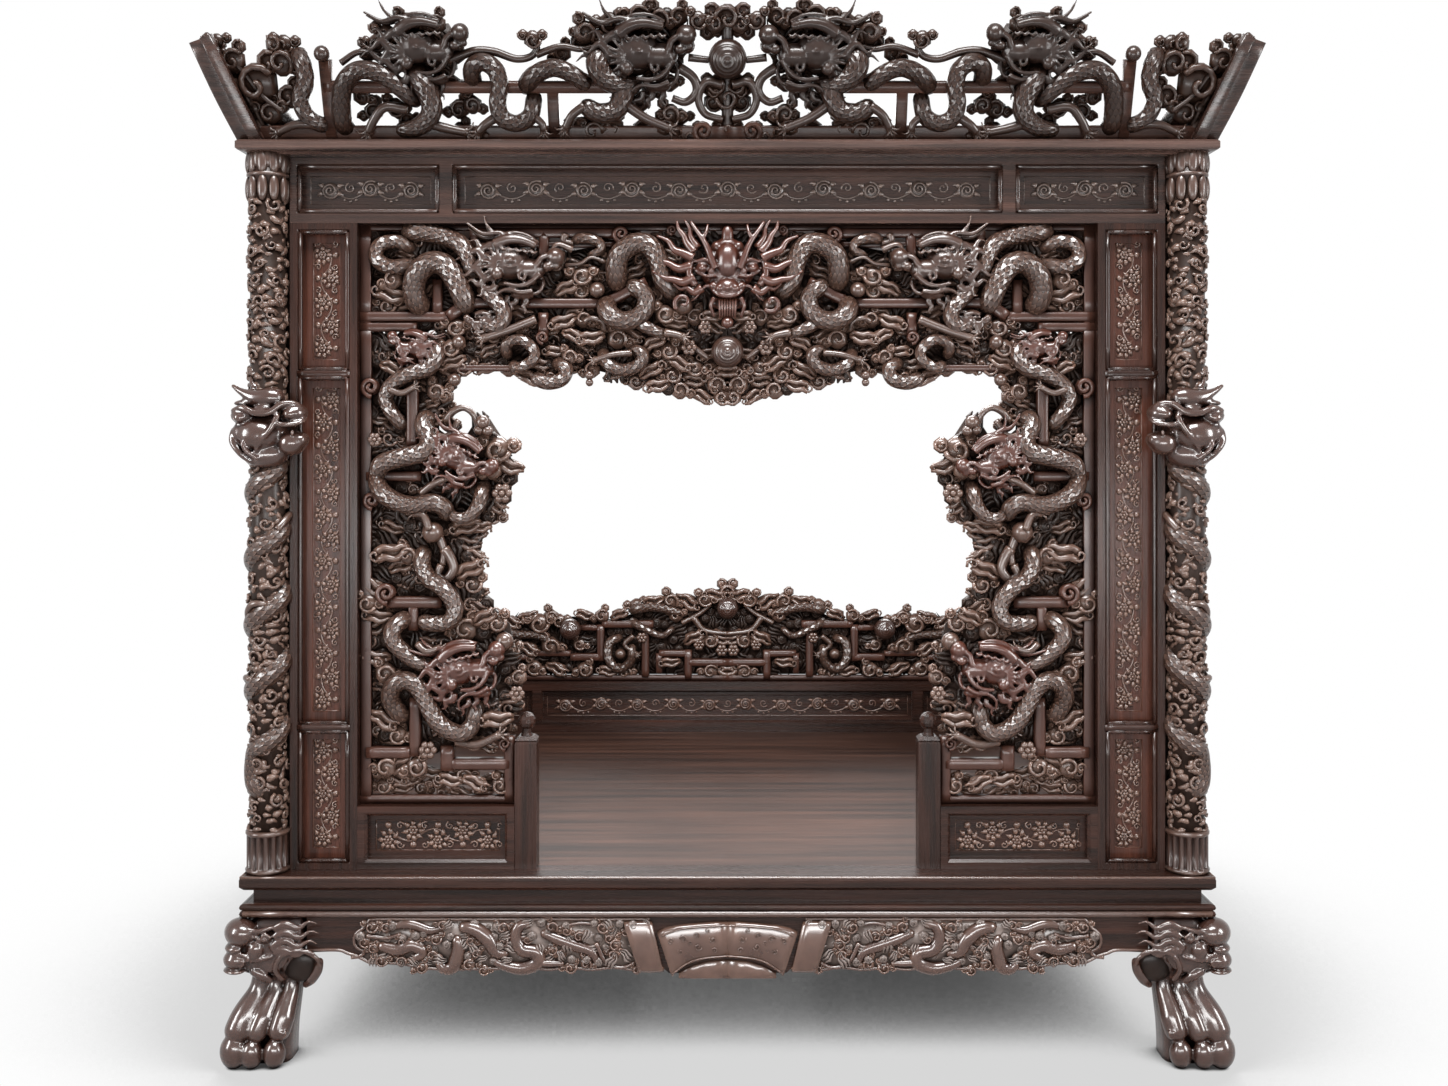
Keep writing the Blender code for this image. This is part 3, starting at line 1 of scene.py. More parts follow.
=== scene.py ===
import bpy
import math
import numpy as np
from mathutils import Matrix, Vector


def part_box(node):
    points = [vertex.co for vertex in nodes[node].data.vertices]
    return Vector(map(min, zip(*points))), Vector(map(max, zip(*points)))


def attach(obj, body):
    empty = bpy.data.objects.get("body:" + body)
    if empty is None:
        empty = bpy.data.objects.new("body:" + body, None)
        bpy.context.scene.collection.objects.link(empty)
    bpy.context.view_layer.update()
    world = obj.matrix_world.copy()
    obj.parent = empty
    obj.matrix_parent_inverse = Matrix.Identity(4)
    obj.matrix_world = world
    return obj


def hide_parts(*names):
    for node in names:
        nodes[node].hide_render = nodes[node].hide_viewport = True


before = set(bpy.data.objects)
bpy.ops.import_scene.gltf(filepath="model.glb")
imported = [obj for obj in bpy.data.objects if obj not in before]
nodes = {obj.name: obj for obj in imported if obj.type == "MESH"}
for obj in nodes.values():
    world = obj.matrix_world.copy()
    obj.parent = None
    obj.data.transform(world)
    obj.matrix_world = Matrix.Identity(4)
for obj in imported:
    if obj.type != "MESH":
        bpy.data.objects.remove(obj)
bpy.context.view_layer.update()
bpy.ops.object.select_all(action="DESELECT")
bpy.context.scene.view_settings.view_transform = "Standard"
print("frame loaded:", len(nodes), "nodes")


def linearColour(hexText):
    channels = [int(hexText[i:i + 2], 16) / 255 for i in (1, 3, 5)]
    return (*[c / 12.92 if c <= 0.04045 else ((c + 0.055) / 1.055) ** 2.4 for c in channels], 1.0)


def addNode(tree, kind, settings=None, inputs=None, links=None):
    node = tree.nodes.new(kind)
    for key, value in (settings or {}).items():
        setattr(node, key, value)
    for key, value in (inputs or {}).items():
        node.inputs[key].default_value = value
    for key, socket in (links or {}).items():
        tree.links.new(socket, node.inputs[key])
    return node


def calculate(tree, operation, *terms):
    # One sum on sockets and plain numbers
    numbers = {i: term for i, term in enumerate(terms) if isinstance(term, (int, float))}
    sockets = {i: term for i, term in enumerate(terms) if not isinstance(term, (int, float))}
    return addNode(tree, "ShaderNodeMath", {"operation": operation}, numbers, sockets).outputs[0]


# Rosewood: a dense dark hardwood, waxed to satin. Straight dark streaks on a red-brown ground, fine pores.
# streakMm is the width of a streak, poreMm that of a pore, drawn coarser than life so that both show.
# patchesPerMetre says how often the wood is now darker, now lighter.
rosewood = {"dark": "#0f0806", "light": "#27150f", "streakMm": 9.0, "poreMm": 1.6, "patchesPerMetre": 2.3,
            "stretch": 22.0, "roughness": 0.25, "specular": 0.20, "coat": 0.03}
# The same wood where it is carved: the first colour is painted shade for hollows, and the millimetres say how
# wide a hollow is that takes it
# Its edge colour is the paler tone of worn edges and also a painted highlight
carvedRosewood = {"paintedShade": "#030202", "ground": "#271812", "edge": "#614a3f", "shadeReachMm": 26.0,
                  "grainMm": 14.0, "roughness": 0.31, "mottle": 0.08, "specular": 0.38, "coat": 0.18}


def rosewoodPlank(name, along, tint=None):
    finish = dict(rosewood, **(tint or {}))
    material = bpy.data.materials.new(name)
    material.use_nodes = True
    tree = material.node_tree
    shader = tree.nodes["Principled BSDF"]
    place = addNode(tree, "ShaderNodeTexCoord")
    squeeze = [1.0, 1.0, 1.0]
    squeeze["XYZ".index(along)] = 1 / finish["stretch"]
    lay = addNode(tree, "ShaderNodeMapping", inputs={"Scale": squeeze},
                  links={"Vector": place.outputs["Object"]})
    streaks = addNode(tree, "ShaderNodeTexNoise", inputs={"Scale": 1000 / finish["streakMm"] / 2,
                                                          "Detail": 5.0,
                      "Roughness": 0.62}, links={"Vector": lay.outputs["Vector"]})
    pores = addNode(tree, "ShaderNodeTexNoise", inputs={"Scale": 1000 / finish["poreMm"] / 2, "Detail": 2.0},
                    links={"Vector": lay.outputs["Vector"]})
    patches = addNode(tree, "ShaderNodeTexNoise", inputs={"Scale": finish["patchesPerMetre"], "Detail": 2.0},
                      links={"Vector": place.outputs["Object"]})
    spread = addNode(tree, "ShaderNodeMapRange", inputs={"From Min": 0.32, "From Max": 0.70},
                     links={"Value": streaks.outputs["Fac"]})
    drift = addNode(tree, "ShaderNodeMapRange", inputs={"From Min": 0.3, "From Max": 0.7, "To Min": 0.55,
                    "To Max": 1.0}, links={"Value": patches.outputs["Fac"]})
    amount = calculate(tree, "MULTIPLY", spread.outputs["Result"], drift.outputs["Result"])
    colour = addNode(tree, "ShaderNodeMix", {"data_type": "RGBA"}, {6: linearColour(finish["dark"]),
                     7: linearColour(finish["light"])}, {0: amount})
    tree.links.new(colour.outputs[2], shader.inputs["Base Color"])
    gloss = addNode(tree, "ShaderNodeMapRange", inputs={"To Min": finish["roughness"] - 0.06, "To Max":
                    finish["roughness"] + 0.1}, links={"Value": pores.outputs["Fac"]})
    tree.links.new(gloss.outputs["Result"], shader.inputs["Roughness"])
    bump = addNode(tree, "ShaderNodeBump", inputs={"Strength": 0.12, "Distance": 0.0006},
                   links={"Height": pores.outputs["Fac"]})
    tree.links.new(bump.outputs["Normal"], shader.inputs["Normal"])
    shader.inputs["IOR"].default_value = 1.5
    shader.inputs["Specular IOR Level"].default_value = finish["specular"]
    shader.inputs["Coat Weight"].default_value = finish["coat"]
    shader.inputs["Coat Roughness"].default_value = 0.2
    return material


# One scale of a dragon's skin, drawn larger than life so that it shows
scales = {"longMm": 12.5, "wideMm": 11.5, "riseMm": 2.6}


def dragonScales(tree):
    # A dragon's skin: the piece keeps at each point its place around (X) and along (Y) in scales, and 1 in Z.
    # Rows overlap like tiles; each scale rises to a rounded tip, with a crescent of painted shade past it.
    skin = addNode(tree, "ShaderNodeAttribute", {"attribute_name": "scale"})
    parts = addNode(tree, "ShaderNodeSeparateXYZ", links={0: skin.outputs["Vector"]})
    around, along, covered = parts.outputs
    shift = calculate(tree, "MODULO", calculate(tree, "FLOOR", along), 2.0)
    across = calculate(tree, "FRACT", calculate(tree, "MULTIPLY_ADD", shift, 0.5, around))
    aside = calculate(tree, "SUBTRACT", across, 0.5)
    edge = calculate(tree, "MULTIPLY_ADD", calculate(tree, "MULTIPLY", aside, aside), -2.3, 1.0)
    run = calculate(tree, "FRACT", along)
    past = calculate(tree, "SUBTRACT", run, edge)
    under = calculate(tree, "GREATER_THAN", past, 0.0)
    slope = calculate(tree, "DIVIDE", run, edge)
    rise = calculate(tree, "MULTIPLY", slope, calculate(tree, "SUBTRACT", 1.0, under))
    rise = calculate(tree, "MULTIPLY", rise, covered)
    crescentShade = addNode(tree, "ShaderNodeMapRange", inputs={"From Max": 0.50, "To Min": 1.0, "To Max": 0.0},
                  links={"Value": past}).outputs["Result"]
    dark = calculate(tree, "MULTIPLY", calculate(tree, "MULTIPLY", crescentShade, under), covered)
    return rise, dark


def rosewoodCarving(name, tint=None):
    # Painted shade from occlusion darkens hollows and dims their reflections; raised edges are paler, partly
    # worn, partly painted highlight
    finish = dict(carvedRosewood, **(tint or {}))
    material = bpy.data.materials.new(name)
    material.use_nodes = True
    tree = material.node_tree
    shader = tree.nodes["Principled BSDF"]
    place = addNode(tree, "ShaderNodeTexCoord")
    # Painted shade: occlusion by the carving nearby darkens the colour in hollows toward the shade colour
    hollow = addNode(tree, "ShaderNodeAmbientOcclusion", {"samples": 8},
                     {"Distance": finish["shadeReachMm"] / 1000})
    depth = addNode(tree, "ShaderNodeMapRange", inputs={"From Min": 0.40, "From Max": 0.94},
                    links={"Value": hollow.outputs["AO"]})
    shape = addNode(tree, "ShaderNodeNewGeometry")
    # Sharp edges are painted paler, partly as worn rubbing and partly as painted highlight
    rubbedAndHighlitEdges = addNode(tree, "ShaderNodeMapRange", inputs={"From Min": 0.52, "From Max": 0.66, "To Max": 0.6},
                     links={"Value": shape.outputs["Pointiness"]})
    grain = addNode(tree, "ShaderNodeTexNoise", inputs={"Scale": 1000 / finish["grainMm"] / 2, "Detail": 4.0},
                    links={"Vector": place.outputs["Object"]})
    patchy = addNode(tree, "ShaderNodeMapRange", inputs={"From Min": 0.3, "From Max": 0.7, "To Min": 0.45},
                     links={"Value": grain.outputs["Fac"]})
    wearAndHighlight = calculate(tree, "MULTIPLY", rubbedAndHighlitEdges.outputs["Result"], patchy.outputs["Result"])
    rise, dark = dragonScales(tree)
    # Painted highlight: the raised tip of each scale is coloured paler
    tipHighlight = calculate(tree, "MULTIPLY", calculate(tree, "POWER", rise, 3.0), 0.45)
    wearAndHighlight = calculate(tree, "MAXIMUM", wearAndHighlight, tipHighlight)
    # The crescents between scales are painted shade too, like the hollows
    unshaded = calculate(tree, "MULTIPLY", depth.outputs["Result"],
                     calculate(tree, "MULTIPLY_ADD", dark, -0.97, 1.0))
    ground = addNode(tree, "ShaderNodeMix", {"data_type": "RGBA"}, {6: linearColour(finish["paintedShade"]),
                     7: linearColour(finish["ground"])}, {0: unshaded})
    colour = addNode(tree, "ShaderNodeMix", {"data_type": "RGBA"}, {7: linearColour(finish["edge"])},
                     {0: wearAndHighlight, 6: ground.outputs[2]})
    tree.links.new(colour.outputs[2], shader.inputs["Base Color"])
    gloss = addNode(tree, "ShaderNodeMapRange", inputs={"To Min": finish["roughness"] - finish["mottle"],
                    "To Max": finish["roughness"] + finish["mottle"]}, links={"Value": grain.outputs["Fac"]})
    tree.links.new(gloss.outputs["Result"], shader.inputs["Roughness"])
    # The painted shade also dims the reflections and the coat in hollows
    tree.links.new(calculate(tree, "MULTIPLY", unshaded, finish["specular"]), shader.inputs["Specular IOR Level"])
    tree.links.new(calculate(tree, "MULTIPLY", unshaded, finish["coat"]), shader.inputs["Coat Weight"])
    bump = addNode(tree, "ShaderNodeBump", inputs={"Strength": 1.0, "Distance": scales["riseMm"] / 1000},
                   links={"Height": rise})
    tree.links.new(bump.outputs["Normal"], shader.inputs["Normal"])
    tree.links.new(bump.outputs["Normal"], shader.inputs["Coat Normal"])
    shader.inputs["IOR"].default_value = 1.5
    shader.inputs["Coat Roughness"].default_value = 0.18
    return material


# The same wood in its finishes: planks with the grain along one axis, and carvings
plankUp = rosewoodPlank("rosewoodPlankUpright", "Z")
plankAcross = rosewoodPlank("rosewoodPlankAcross", "X")
plankDeep = rosewoodPlank("rosewoodPlankFrontToBack", "Y")
# Canopy and cornice planks: real higher gloss, plus paler, greyer colours as painted sheen where they catch
# light from above
plankTop = rosewoodPlank("rosewoodPlankCanopyPaintedSheen", "X", {
    "dark": "#120b09", "light": "#31201a", "specular": 0.32})
plankCornice = rosewoodPlank("rosewoodPlankCornicePaintedSheen", "X", {
    "dark": "#1c1310", "light": "#42302a", "specular": 0.4})
plankPanel = rosewoodPlank("rosewoodPanelBoard", "Z", {"dark": "#190c08", "light": "#3d2118"})
plankBed = rosewoodPlank("rosewoodBedBoards", "X", {
    "dark": "#140b08", "light": "#3a261e", "streakMm": 16.0,
    "roughness": 0.36, "specular": 0.12, "coat": 0.02})
plankCrown = rosewoodPlank("rosewoodCrownRails", "X", {
    "dark": "#170d0a", "light": "#35221b", "specular": 0.10, "coat": 0.0})
carvedWood = rosewoodCarving("rosewoodCarvedWaxed")
polishedCarving = rosewoodCarving("rosewoodCarvedPolished", {
    "ground": "#271813", "roughness": 0.22, "mottle": 0.02, "coat": 0.45, "shadeReachMm": 18.0})
# Painted shade: a darker copy of the carved wood for the crown, which faces away from the light above
crownWood = rosewoodCarving("rosewoodCarvedCrown", {
    "ground": "#190f0b", "edge": "#392820", "specular": 0.24, "coat": 0.08})
scaledWood = rosewoodCarving("rosewoodScaledDragons", {
    "ground": "#23150f", "roughness": 0.30, "specular": 0.5, "coat": 0.06})
barWood = rosewoodCarving("rosewoodFretBars", {
    "ground": "#27150f", "edge": "#4c3128", "specular": 0.26, "coat": 0.06})
# Painted shade: a darker copy of the carved wood for grounds, cores and fillers that lie deep in the carving
shadedCarving = rosewoodCarving("rosewoodCarvedPaintedShade", {
    "ground": "#140d0a", "edge": "#2c211c", "specular": 0.15, "coat": 0.0})
redWood = rosewoodCarving("rosewoodHeartRed", {"ground": "#2e160f", "edge": "#573529", "shadeReachMm": 16.0})
panelRelief = rosewoodCarving("rosewoodPanelRelief", {
    "ground": "#2f1d16", "edge": "#5d473c", "shadeReachMm": 9.0})
friezeRelief = rosewoodCarving("rosewoodFriezeRelief", {
    "ground": "#2b211d", "edge": "#66564e", "shadeReachMm": 9.0})
columnWood = rosewoodCarving("rosewoodColumnCarving", {
    "ground": "#261813", "edge": "#5f4b41", "specular": 0.32, "coat": 0.10})
# Painted sheen: the apron's flat ground is coloured paler and greyer in place of the sheen of its polish
apronFieldSheen = rosewoodCarving("rosewoodApronFieldPaintedSheen", {
    "ground": "#3a302c", "edge": "#5a4f4a", "roughness": 0.36, "coat": 0.2, "shadeReachMm": 14.0})
print("materials ready")


# Strokes are kept as closed rings of points until a piece is finished

def newStore():
    return {"points": [], "faces": [], "scales": [], "count": 0}


def addRings(store, rings, skin=None):
    # Skin is each point's place among a dragon's scales, for the shader
    n, m, _ = rings.shape
    store["scales"].append(np.zeros((n * m, 3)) if skin is None else skin.reshape(-1, 3))
    store["scales"].append(np.zeros((2, 3)))
    start = store["count"]
    k = np.arange(m)
    ahead = (k + 1) % m
    row = start + np.arange(n - 1)[:, None] * m
    quads = np.stack([row + k, row + m + k, row + m + ahead, row + ahead], axis=-1).reshape(-1, 4)
    low, high = start + n * m, start + n * m + 1
    last = start + (n - 1) * m
    store["faces"].extend(quads.tolist())
    store["faces"].extend(np.stack([np.full(m, low), start + k, start + ahead], axis=-1).tolist())
    store["faces"].extend(np.stack([np.full(m, high), last + ahead, last + k], axis=-1).tolist())
    store["points"].append(rings.reshape(-1, 3))
    store["points"].append(np.stack([rings[0].mean(0), rings[-1].mean(0)]))
    store["count"] += n * m + 2


def unit(vectors):
    return vectors / np.maximum(np.linalg.norm(vectors, axis=-1, keepdims=True), 1e-9)


def sweep(store, path, outward, radius, around, flat=1.0, square=1.0, skin=None):
    # A tube along a path: flat presses it toward the ground, and square under 1 makes its section boxy.
    # Rings start at the back, where a seam in the skin stays out of sight.
    along = unit(np.gradient(path, axis=0))
    side = unit(np.cross(along, outward))
    lift = np.cross(side, along)
    turn = 2 * np.pi * (np.arange(around) / around - 0.25)
    c, s = np.cos(turn), np.sin(turn)
    c, s = np.sign(c) * np.abs(c) ** square, np.sign(s) * np.abs(s) ** square
    radius = np.broadcast_to(radius, (len(path), around))[..., None]
    ring = c[None, :, None] * side[:, None, :] + flat * s[None, :, None] * lift[:, None, :]
    addRings(store, path[:, None, :] + radius * ring, skin)


def curveThrough(points, step):
    # A smooth curve through the points, in even steps
    p = np.array(points, dtype=float)
    p = np.vstack([2 * p[0] - p[1], p, 2 * p[-1] - p[-2]])
    t = np.linspace(0, 1, 12, endpoint=False)[:, None]
    runs = []
    for a, b, c, d in zip(p, p[1:], p[2:], p[3:]):
        bend, twist = 2 * a - 5 * b + 4 * c - d, 3 * b - a - 3 * c + d
        runs.append((2 * b + (c - a) * t + bend * t**2 + twist * t**3) / 2)
    dense = np.vstack([*runs, p[-2:-1]])
    length = np.concatenate([[0], np.cumsum(np.linalg.norm(np.diff(dense, axis=0), axis=1))])
    count = max(4, int(length[-1] / step) + 1)
    even = np.linspace(0, length[-1], count)
    return np.stack([np.interp(even, length, dense[:, i]) for i in range(3)], axis=1)


# A panel turns metres across, metres up and metres toward the viewer into a place on the bed

def flatPanel(left, right, bottom, top, face, lean=0.0):
    way = math.copysign(1.0, right - left)
    return {"origin": np.array([left, face, bottom]), "across": np.array([way, 0, 0]),
            "up": np.array([0, -lean, 1.0]), "out": unit(np.array([0, -1.0, -lean])),
            "width": abs(right - left), "height": top - bottom}


def turnedPanel(panel, turn, centre):
    # The same panel on another side of the bed
    c, s = math.cos(turn), math.sin(turn)
    spin = np.array([[c, -s, 0], [s, c, 0], [0, 0, 1]])
    middle = np.array([0, centre, 0])
    turned = dict(panel, origin=spin @ (panel["origin"] - middle) + middle)
    for key in ("across", "up", "out"):
        turned[key] = spin @ panel[key]
    return turned


def roundPanel(x, y, radius, bottom, top, facing, way):
    # A panel wrapped round a column
    return {"axis": np.array([x, y, bottom]), "radius": radius, "facing": facing, "way": way,
            "width": 2 * math.pi * radius, "height": top - bottom}


def onPanel(panel, spots):
    # Places on the bed, and the way out of the panel at each
    spots = np.atleast_2d(np.array(spots, dtype=float))
    a, b, d = spots[:, :1], spots[:, 1:2], spots[:, 2:3]
    if "axis" in panel:
        angle = panel["facing"] + panel["way"] * a / panel["radius"]
        out = np.hstack([np.cos(angle), np.sin(angle), 0 * angle])
        return panel["axis"] + out * (panel["radius"] + d) + b * np.array([0, 0, 1.0]), out
    out = np.repeat(panel["out"][None, :], len(spots), axis=0)
    return panel["origin"] + a * panel["across"] + b * panel["up"] + d * panel["out"], out


def share(panel, points, depth=0.0):
    # Percent of the panel's width and height to metres; a third number is depth in millimetres
    return [(p[0] / 100 * panel["width"], p[1] / 100 * panel["height"],
             depth + (p[2] / 1000 if len(p) > 2 else 0.0)) for p in points]


def straight(start, end):
    # A line as three points
    return [start, tuple((p + q) / 2 for p, q in zip(start, end)), end]


# What the carver cuts

def rod(store, panel, points, radius, tip=1.0, around=10, step=0.006, flat=1.0, square=1.0):
    path, out = onPanel(panel, curveThrough(points, step))
    sweep(store, path, out, np.linspace(radius, radius * tip, len(path))[:, None], around, flat, square)


def lock(store, panel, points, radius, step=0.005):
    # A flame-shaped lock: thick in the middle, drawn out to a point
    path, out = onPanel(panel, curveThrough(points, step))
    t = np.linspace(0, 1, len(path))
    sweep(store, path, out, (radius * (0.25 + 1.1 * np.sin(np.pi * t ** 0.7)) * (1 - 0.75 * t))[:, None], 7,
          0.8)


def scaledBody(store, panel, points, radius, tip=1.0, swell=0.0):
    # A dragon's trunk: a smooth tube whose two ends dive into the ground
    step, around = 0.006, 24
    spots = curveThrough(points, step)
    near = np.minimum(np.arange(len(spots)), np.arange(len(spots))[::-1]) * step
    spots[:, 2] -= 0.026 * np.maximum(0, 1 - near / (1.6 * radius)) ** 2
    path, out = onPanel(panel, spots)
    t = np.linspace(0, 1, len(path))
    girth = radius * (1 + (tip - 1) * t) * (1 + swell * np.sin(np.pi * t))
    run = np.concatenate([[0], np.cumsum(np.linalg.norm(np.diff(path, axis=0), axis=1))])
    ends = np.minimum(1, np.minimum(run, run[-1] - run) / radius)
    girth = np.maximum(girth * np.sqrt(1 - (1 - ends) ** 2), 0.001)
    skin = np.ones((len(path), around, 3))
    skin[..., 0] = np.arange(around) / around * max(6, round(2000 * math.pi * radius / scales["wideMm"]))
    skin[..., 1] = (run * 1000 / scales["longMm"])[:, None]
    sweep(store, path, out, girth[:, None], around, skin=skin)


def ball(store, panel, spot, ra, rb=None, rd=None, rings=7, around=12):
    # An egg with its radii across, up and out
    rb, rd = rb or ra, rd or ra
    near, out = onPanel(panel, [spot])
    above, _ = onPanel(panel, [(spot[0], spot[1] + 1e-4, spot[2])])
    up = unit(above - near)
    side = unit(np.cross(up, out))
    tilt = np.linspace(-1.35, 1.35, rings)
    turn = 2 * np.pi * np.arange(around) / around
    ring = np.cos(turn)[None, :, None] * side * ra + np.sin(turn)[None, :, None] * out * rd
    addRings(store, near[:, None, :] + np.sin(tilt)[:, None, None] * up * rb + np.cos(tilt)[:, None,
                                                                                            None] * ring)


def curl(store, panel, spot, radius, spin=1, start=0.0, turns=1.6, wire=0.25, count=22, around=7):
    # A rolled-up end, like a snail
    t = np.linspace(0, 1, count)
    angle = start + spin * 2 * math.pi * turns * t
    r = radius * (1 - 0.86 * t)
    path = np.stack([spot[0] + np.cos(angle) * r, spot[1] + np.sin(angle) * r, spot[2] + radius * 0.35 * t],
                    axis=1)
    points, out = onPanel(panel, path)
    sweep(store, points, out, (radius * wire * (1 - 0.35 * t))[:, None], around)


def cloud(store, panel, spot, radius, spin=1, tilt=0.0):
    # A cloud head: a swollen pad with an open roll on it, and a small roll on each side
    def at(angle, reach, out):
        return (spot[0] + math.cos(angle) * reach * radius, spot[1] + math.sin(angle) * reach * radius,
                spot[2] + out * radius)

    ball(store, panel, at(0, 0, -0.45), radius * 1.12, radius * 1.05, radius * 0.5, 4, 8)
    curl(store, panel, at(0, 0, 0.0), radius * 0.96, spin, tilt, 1.12, 0.22, 14, 5)
    for way in (-1, 1):
        angle = tilt + way * 1.15 + math.pi / 2
        ball(store, panel, at(angle, 1.2, -0.45), radius * 0.66, radius * 0.64, radius * 0.42, 4, 6)
        curl(store, panel, at(angle, 1.2, -0.1), radius * 0.58, -way * spin, angle, 0.95, 0.25, 9, 4)


def streak(store, panel, spot, radius, spin=1, tilt=0.0):
    # A drawn-out cloud: two ridges side by side that flow from a small roll
    c, s = math.cos(tilt) * spin, math.sin(tilt)

    def at(along, aside, out):
        return (spot[0] + (along * c - aside * s) * radius, spot[1] + (along * s + aside * c) * radius,
                spot[2] + out * radius)

    ball(store, panel, at(0, 0, -0.5), radius * 1.3, radius * 0.75, radius * 0.4, 4, 7)
    for lane in (-0.4, 0.4):
        ridge = [at(-1.2, lane * 0.8, -0.25), at(-0.5, lane + 0.20, -0.02), at(0.3, lane - 0.1, -0.02),
                 at(0.9, lane * 0.8 + 0.15, -0.15), at(1.4, lane * 0.3 + 0.1, -0.45)]
        rod(store, panel, ridge, radius * 0.36, 0.6, 6, 0.010)
    curl(store, panel, at(-1.3, 0.1, 0.0), radius * 0.62, -spin, tilt, 1.1, 0.24, 9, 5)


def bud(store, panel, spot, radius, spin, tilt):
    # A low boss with a roll cut in it
    ball(store, panel, spot, radius, radius * 0.9, radius * 0.5, 4, 7)
    curl(store, panel, (spot[0], spot[1], spot[2] + radius * 0.30), radius * 0.78, spin, tilt, 1.2, 0.2, 8, 4)


def tuft(store, panel, spot, radius, tilt):
    # Three drawn-out locks side by side
    c, s = math.cos(tilt), math.sin(tilt)
    for lane in (-0.55, 0.0, 0.55):
        spots = [(-1.2, lane), (-0.3, lane * 1.1 + 0.25), (0.5, lane * 0.9 - 0.1), (1.5, lane * 0.35 + 0.25)]
        lock(store, panel, [(spot[0] + (p * c - q * s) * radius, spot[1] + (p * s + q * c) * radius,
                             spot[2] + radius * 0.25) for p, q in spots], radius * 0.30, 0.014)


def plate(store, panel, outline, depth, thick):
    # A flat board behind the carving, cut to an outline given in percent
    corners = share(panel, outline)
    front, _ = onPanel(panel, [(a, b, depth) for a, b, _ in corners])
    back, _ = onPanel(panel, [(a, b, depth - thick) for a, b, _ in corners])
    start, n = store["count"], len(corners)
    turn = sum((q[0] - p[0]) * (q[1] + p[1]) for p, q in zip(corners, corners[1:] + corners[:1]))
    mirrored = np.dot(np.cross(panel["across"], panel["up"]), panel["out"]) < 0
    order = list(range(n)) if (turn < 0) != mirrored else list(range(n))[::-1]
    store["faces"].append([start + i for i in order])
    store["faces"].append([start + n + i for i in reversed(order)])
    for i, j in zip(order, order[1:] + order[:1]):
        store["faces"].append([start + i, start + n + i, start + n + j, start + j])
    store["points"].append(np.vstack([front, back]))
    store["scales"].append(np.zeros((2 * n, 3)))
    store["count"] += 2 * n


def insideOutline(corners, spot):
    x, y = spot
    a, b = corners, np.roll(corners, -1, axis=0)
    crosses = (a[:, 1] > y) != (b[:, 1] > y)
    rise = np.where(b[:, 1] == a[:, 1], 1, b[:, 1] - a[:, 1])
    return (crosses & (x < (b[:, 0] - a[:, 0]) * (y - a[:, 1]) / rise + a[:, 0])).sum() % 2 == 1


def crowd(store, panel, outline, spacing, size, depth):
    # Small buds crowd the ground between the figures, inside an outline given in percent
    corners = np.array(share(panel, outline))[:, :2]
    low, high = corners.min(0), corners.max(0)
    chance = np.random.default_rng(7)
    for j, b in enumerate(np.arange(low[1], high[1], spacing * 0.87)):
        for a in np.arange(low[0] + spacing * 0.5 * (j % 2), high[0], spacing):
            spot = np.array([a, b]) + chance.normal(0, spacing * 0.14, 2)
            deep, big, turn = chance.uniform(-0.008, 0.006), chance.uniform(0.85, 1.2), chance.uniform(0, 6.3)
            if not insideOutline(corners, spot):
                continue
            if chance.uniform() < 0.45:
                tuft(store, panel, (*spot, depth + deep), size * big, turn)
            else:
                bud(store, panel, (*spot, depth + deep), size * big, 1 if turn > 3.1 else -1, turn)


cloudSwell = 1.3


def clouds(store, panel, spots, depth=0.0, streaks=True):
    # Spots are percent across, percent up, and radius in millimetres
    for i, (u, v, size) in enumerate(spots):
        back = -0.006 * (i % 3)
        spot = share(panel, [(u, v)], depth + back)[0]
        if streaks and i % 2:
            streak(store, panel, spot, size / 1000 * cloudSwell, 1 if i % 4 == 1 else -1,
                   0.5 * math.sin(2.4 * i))
        else:
            cloud(store, panel, spot, size / 1000 * cloudSwell, 1 if i % 4 else -1, 0.8 * math.sin(2.4 * i))


def flower(store, panel, spot, radius):
    # Six petals round a middle
    for i in range(6):
        angle = i * math.pi / 3
        petal = (spot[0] + math.cos(angle) * radius * 0.62, spot[1] + math.sin(angle) * radius * 0.62,
                 spot[2])
        ball(store, panel, petal, radius * 0.42, radius * 0.42, radius * 0.3, 5, 8)
    ball(store, panel, (spot[0], spot[1], spot[2] + radius * 0.2), radius * 0.34, None, None, 5, 8)


def pearl(store, panel, spot, radius):
    # A ball with rings cut round its front
    tilt = np.linspace(-1.45, 1.5, 40)
    ripple = 1 + 0.035 * np.where(tilt > 0.45, np.sin((tilt - 0.45) * 26), 0)
    near, out = onPanel(panel, [spot])
    up = np.array([0, 0, 1.0])
    side = unit(np.cross(up, out[0]))
    up = np.cross(out[0], side)
    turn = 2 * np.pi * np.arange(28) / 28
    ring = np.cos(turn)[None, :, None] * side + np.sin(turn)[None, :, None] * up
    rings = near + (np.cos(tilt) * ripple)[:, None, None] * ring * radius
    addRings(store, rings + (np.sin(tilt) * ripple)[:, None, None] * out[0] * radius)


def claw(store, panel, spot, size, heading):
    # A paw with four hooked toes
    ball(store, panel, spot, size * 0.5, size * 0.5, size * 0.4, 6, 9)
    for spread in (-0.9, -0.3, 0.3, 0.9):
        a = heading + spread
        b = heading + spread * 1.2
        toe = [spot, (spot[0] + math.cos(a) * size * 0.7, spot[1] + math.sin(a) * size * 0.7,
                      spot[2] + size * 0.3),
               (spot[0] + math.cos(b) * size * 1.15, spot[1] + math.sin(b) * size * 1.15,
                spot[2] - size * 0.1)]
        rod(store, panel, toe, size * 0.2, 0.3, 7, size * 0.12)


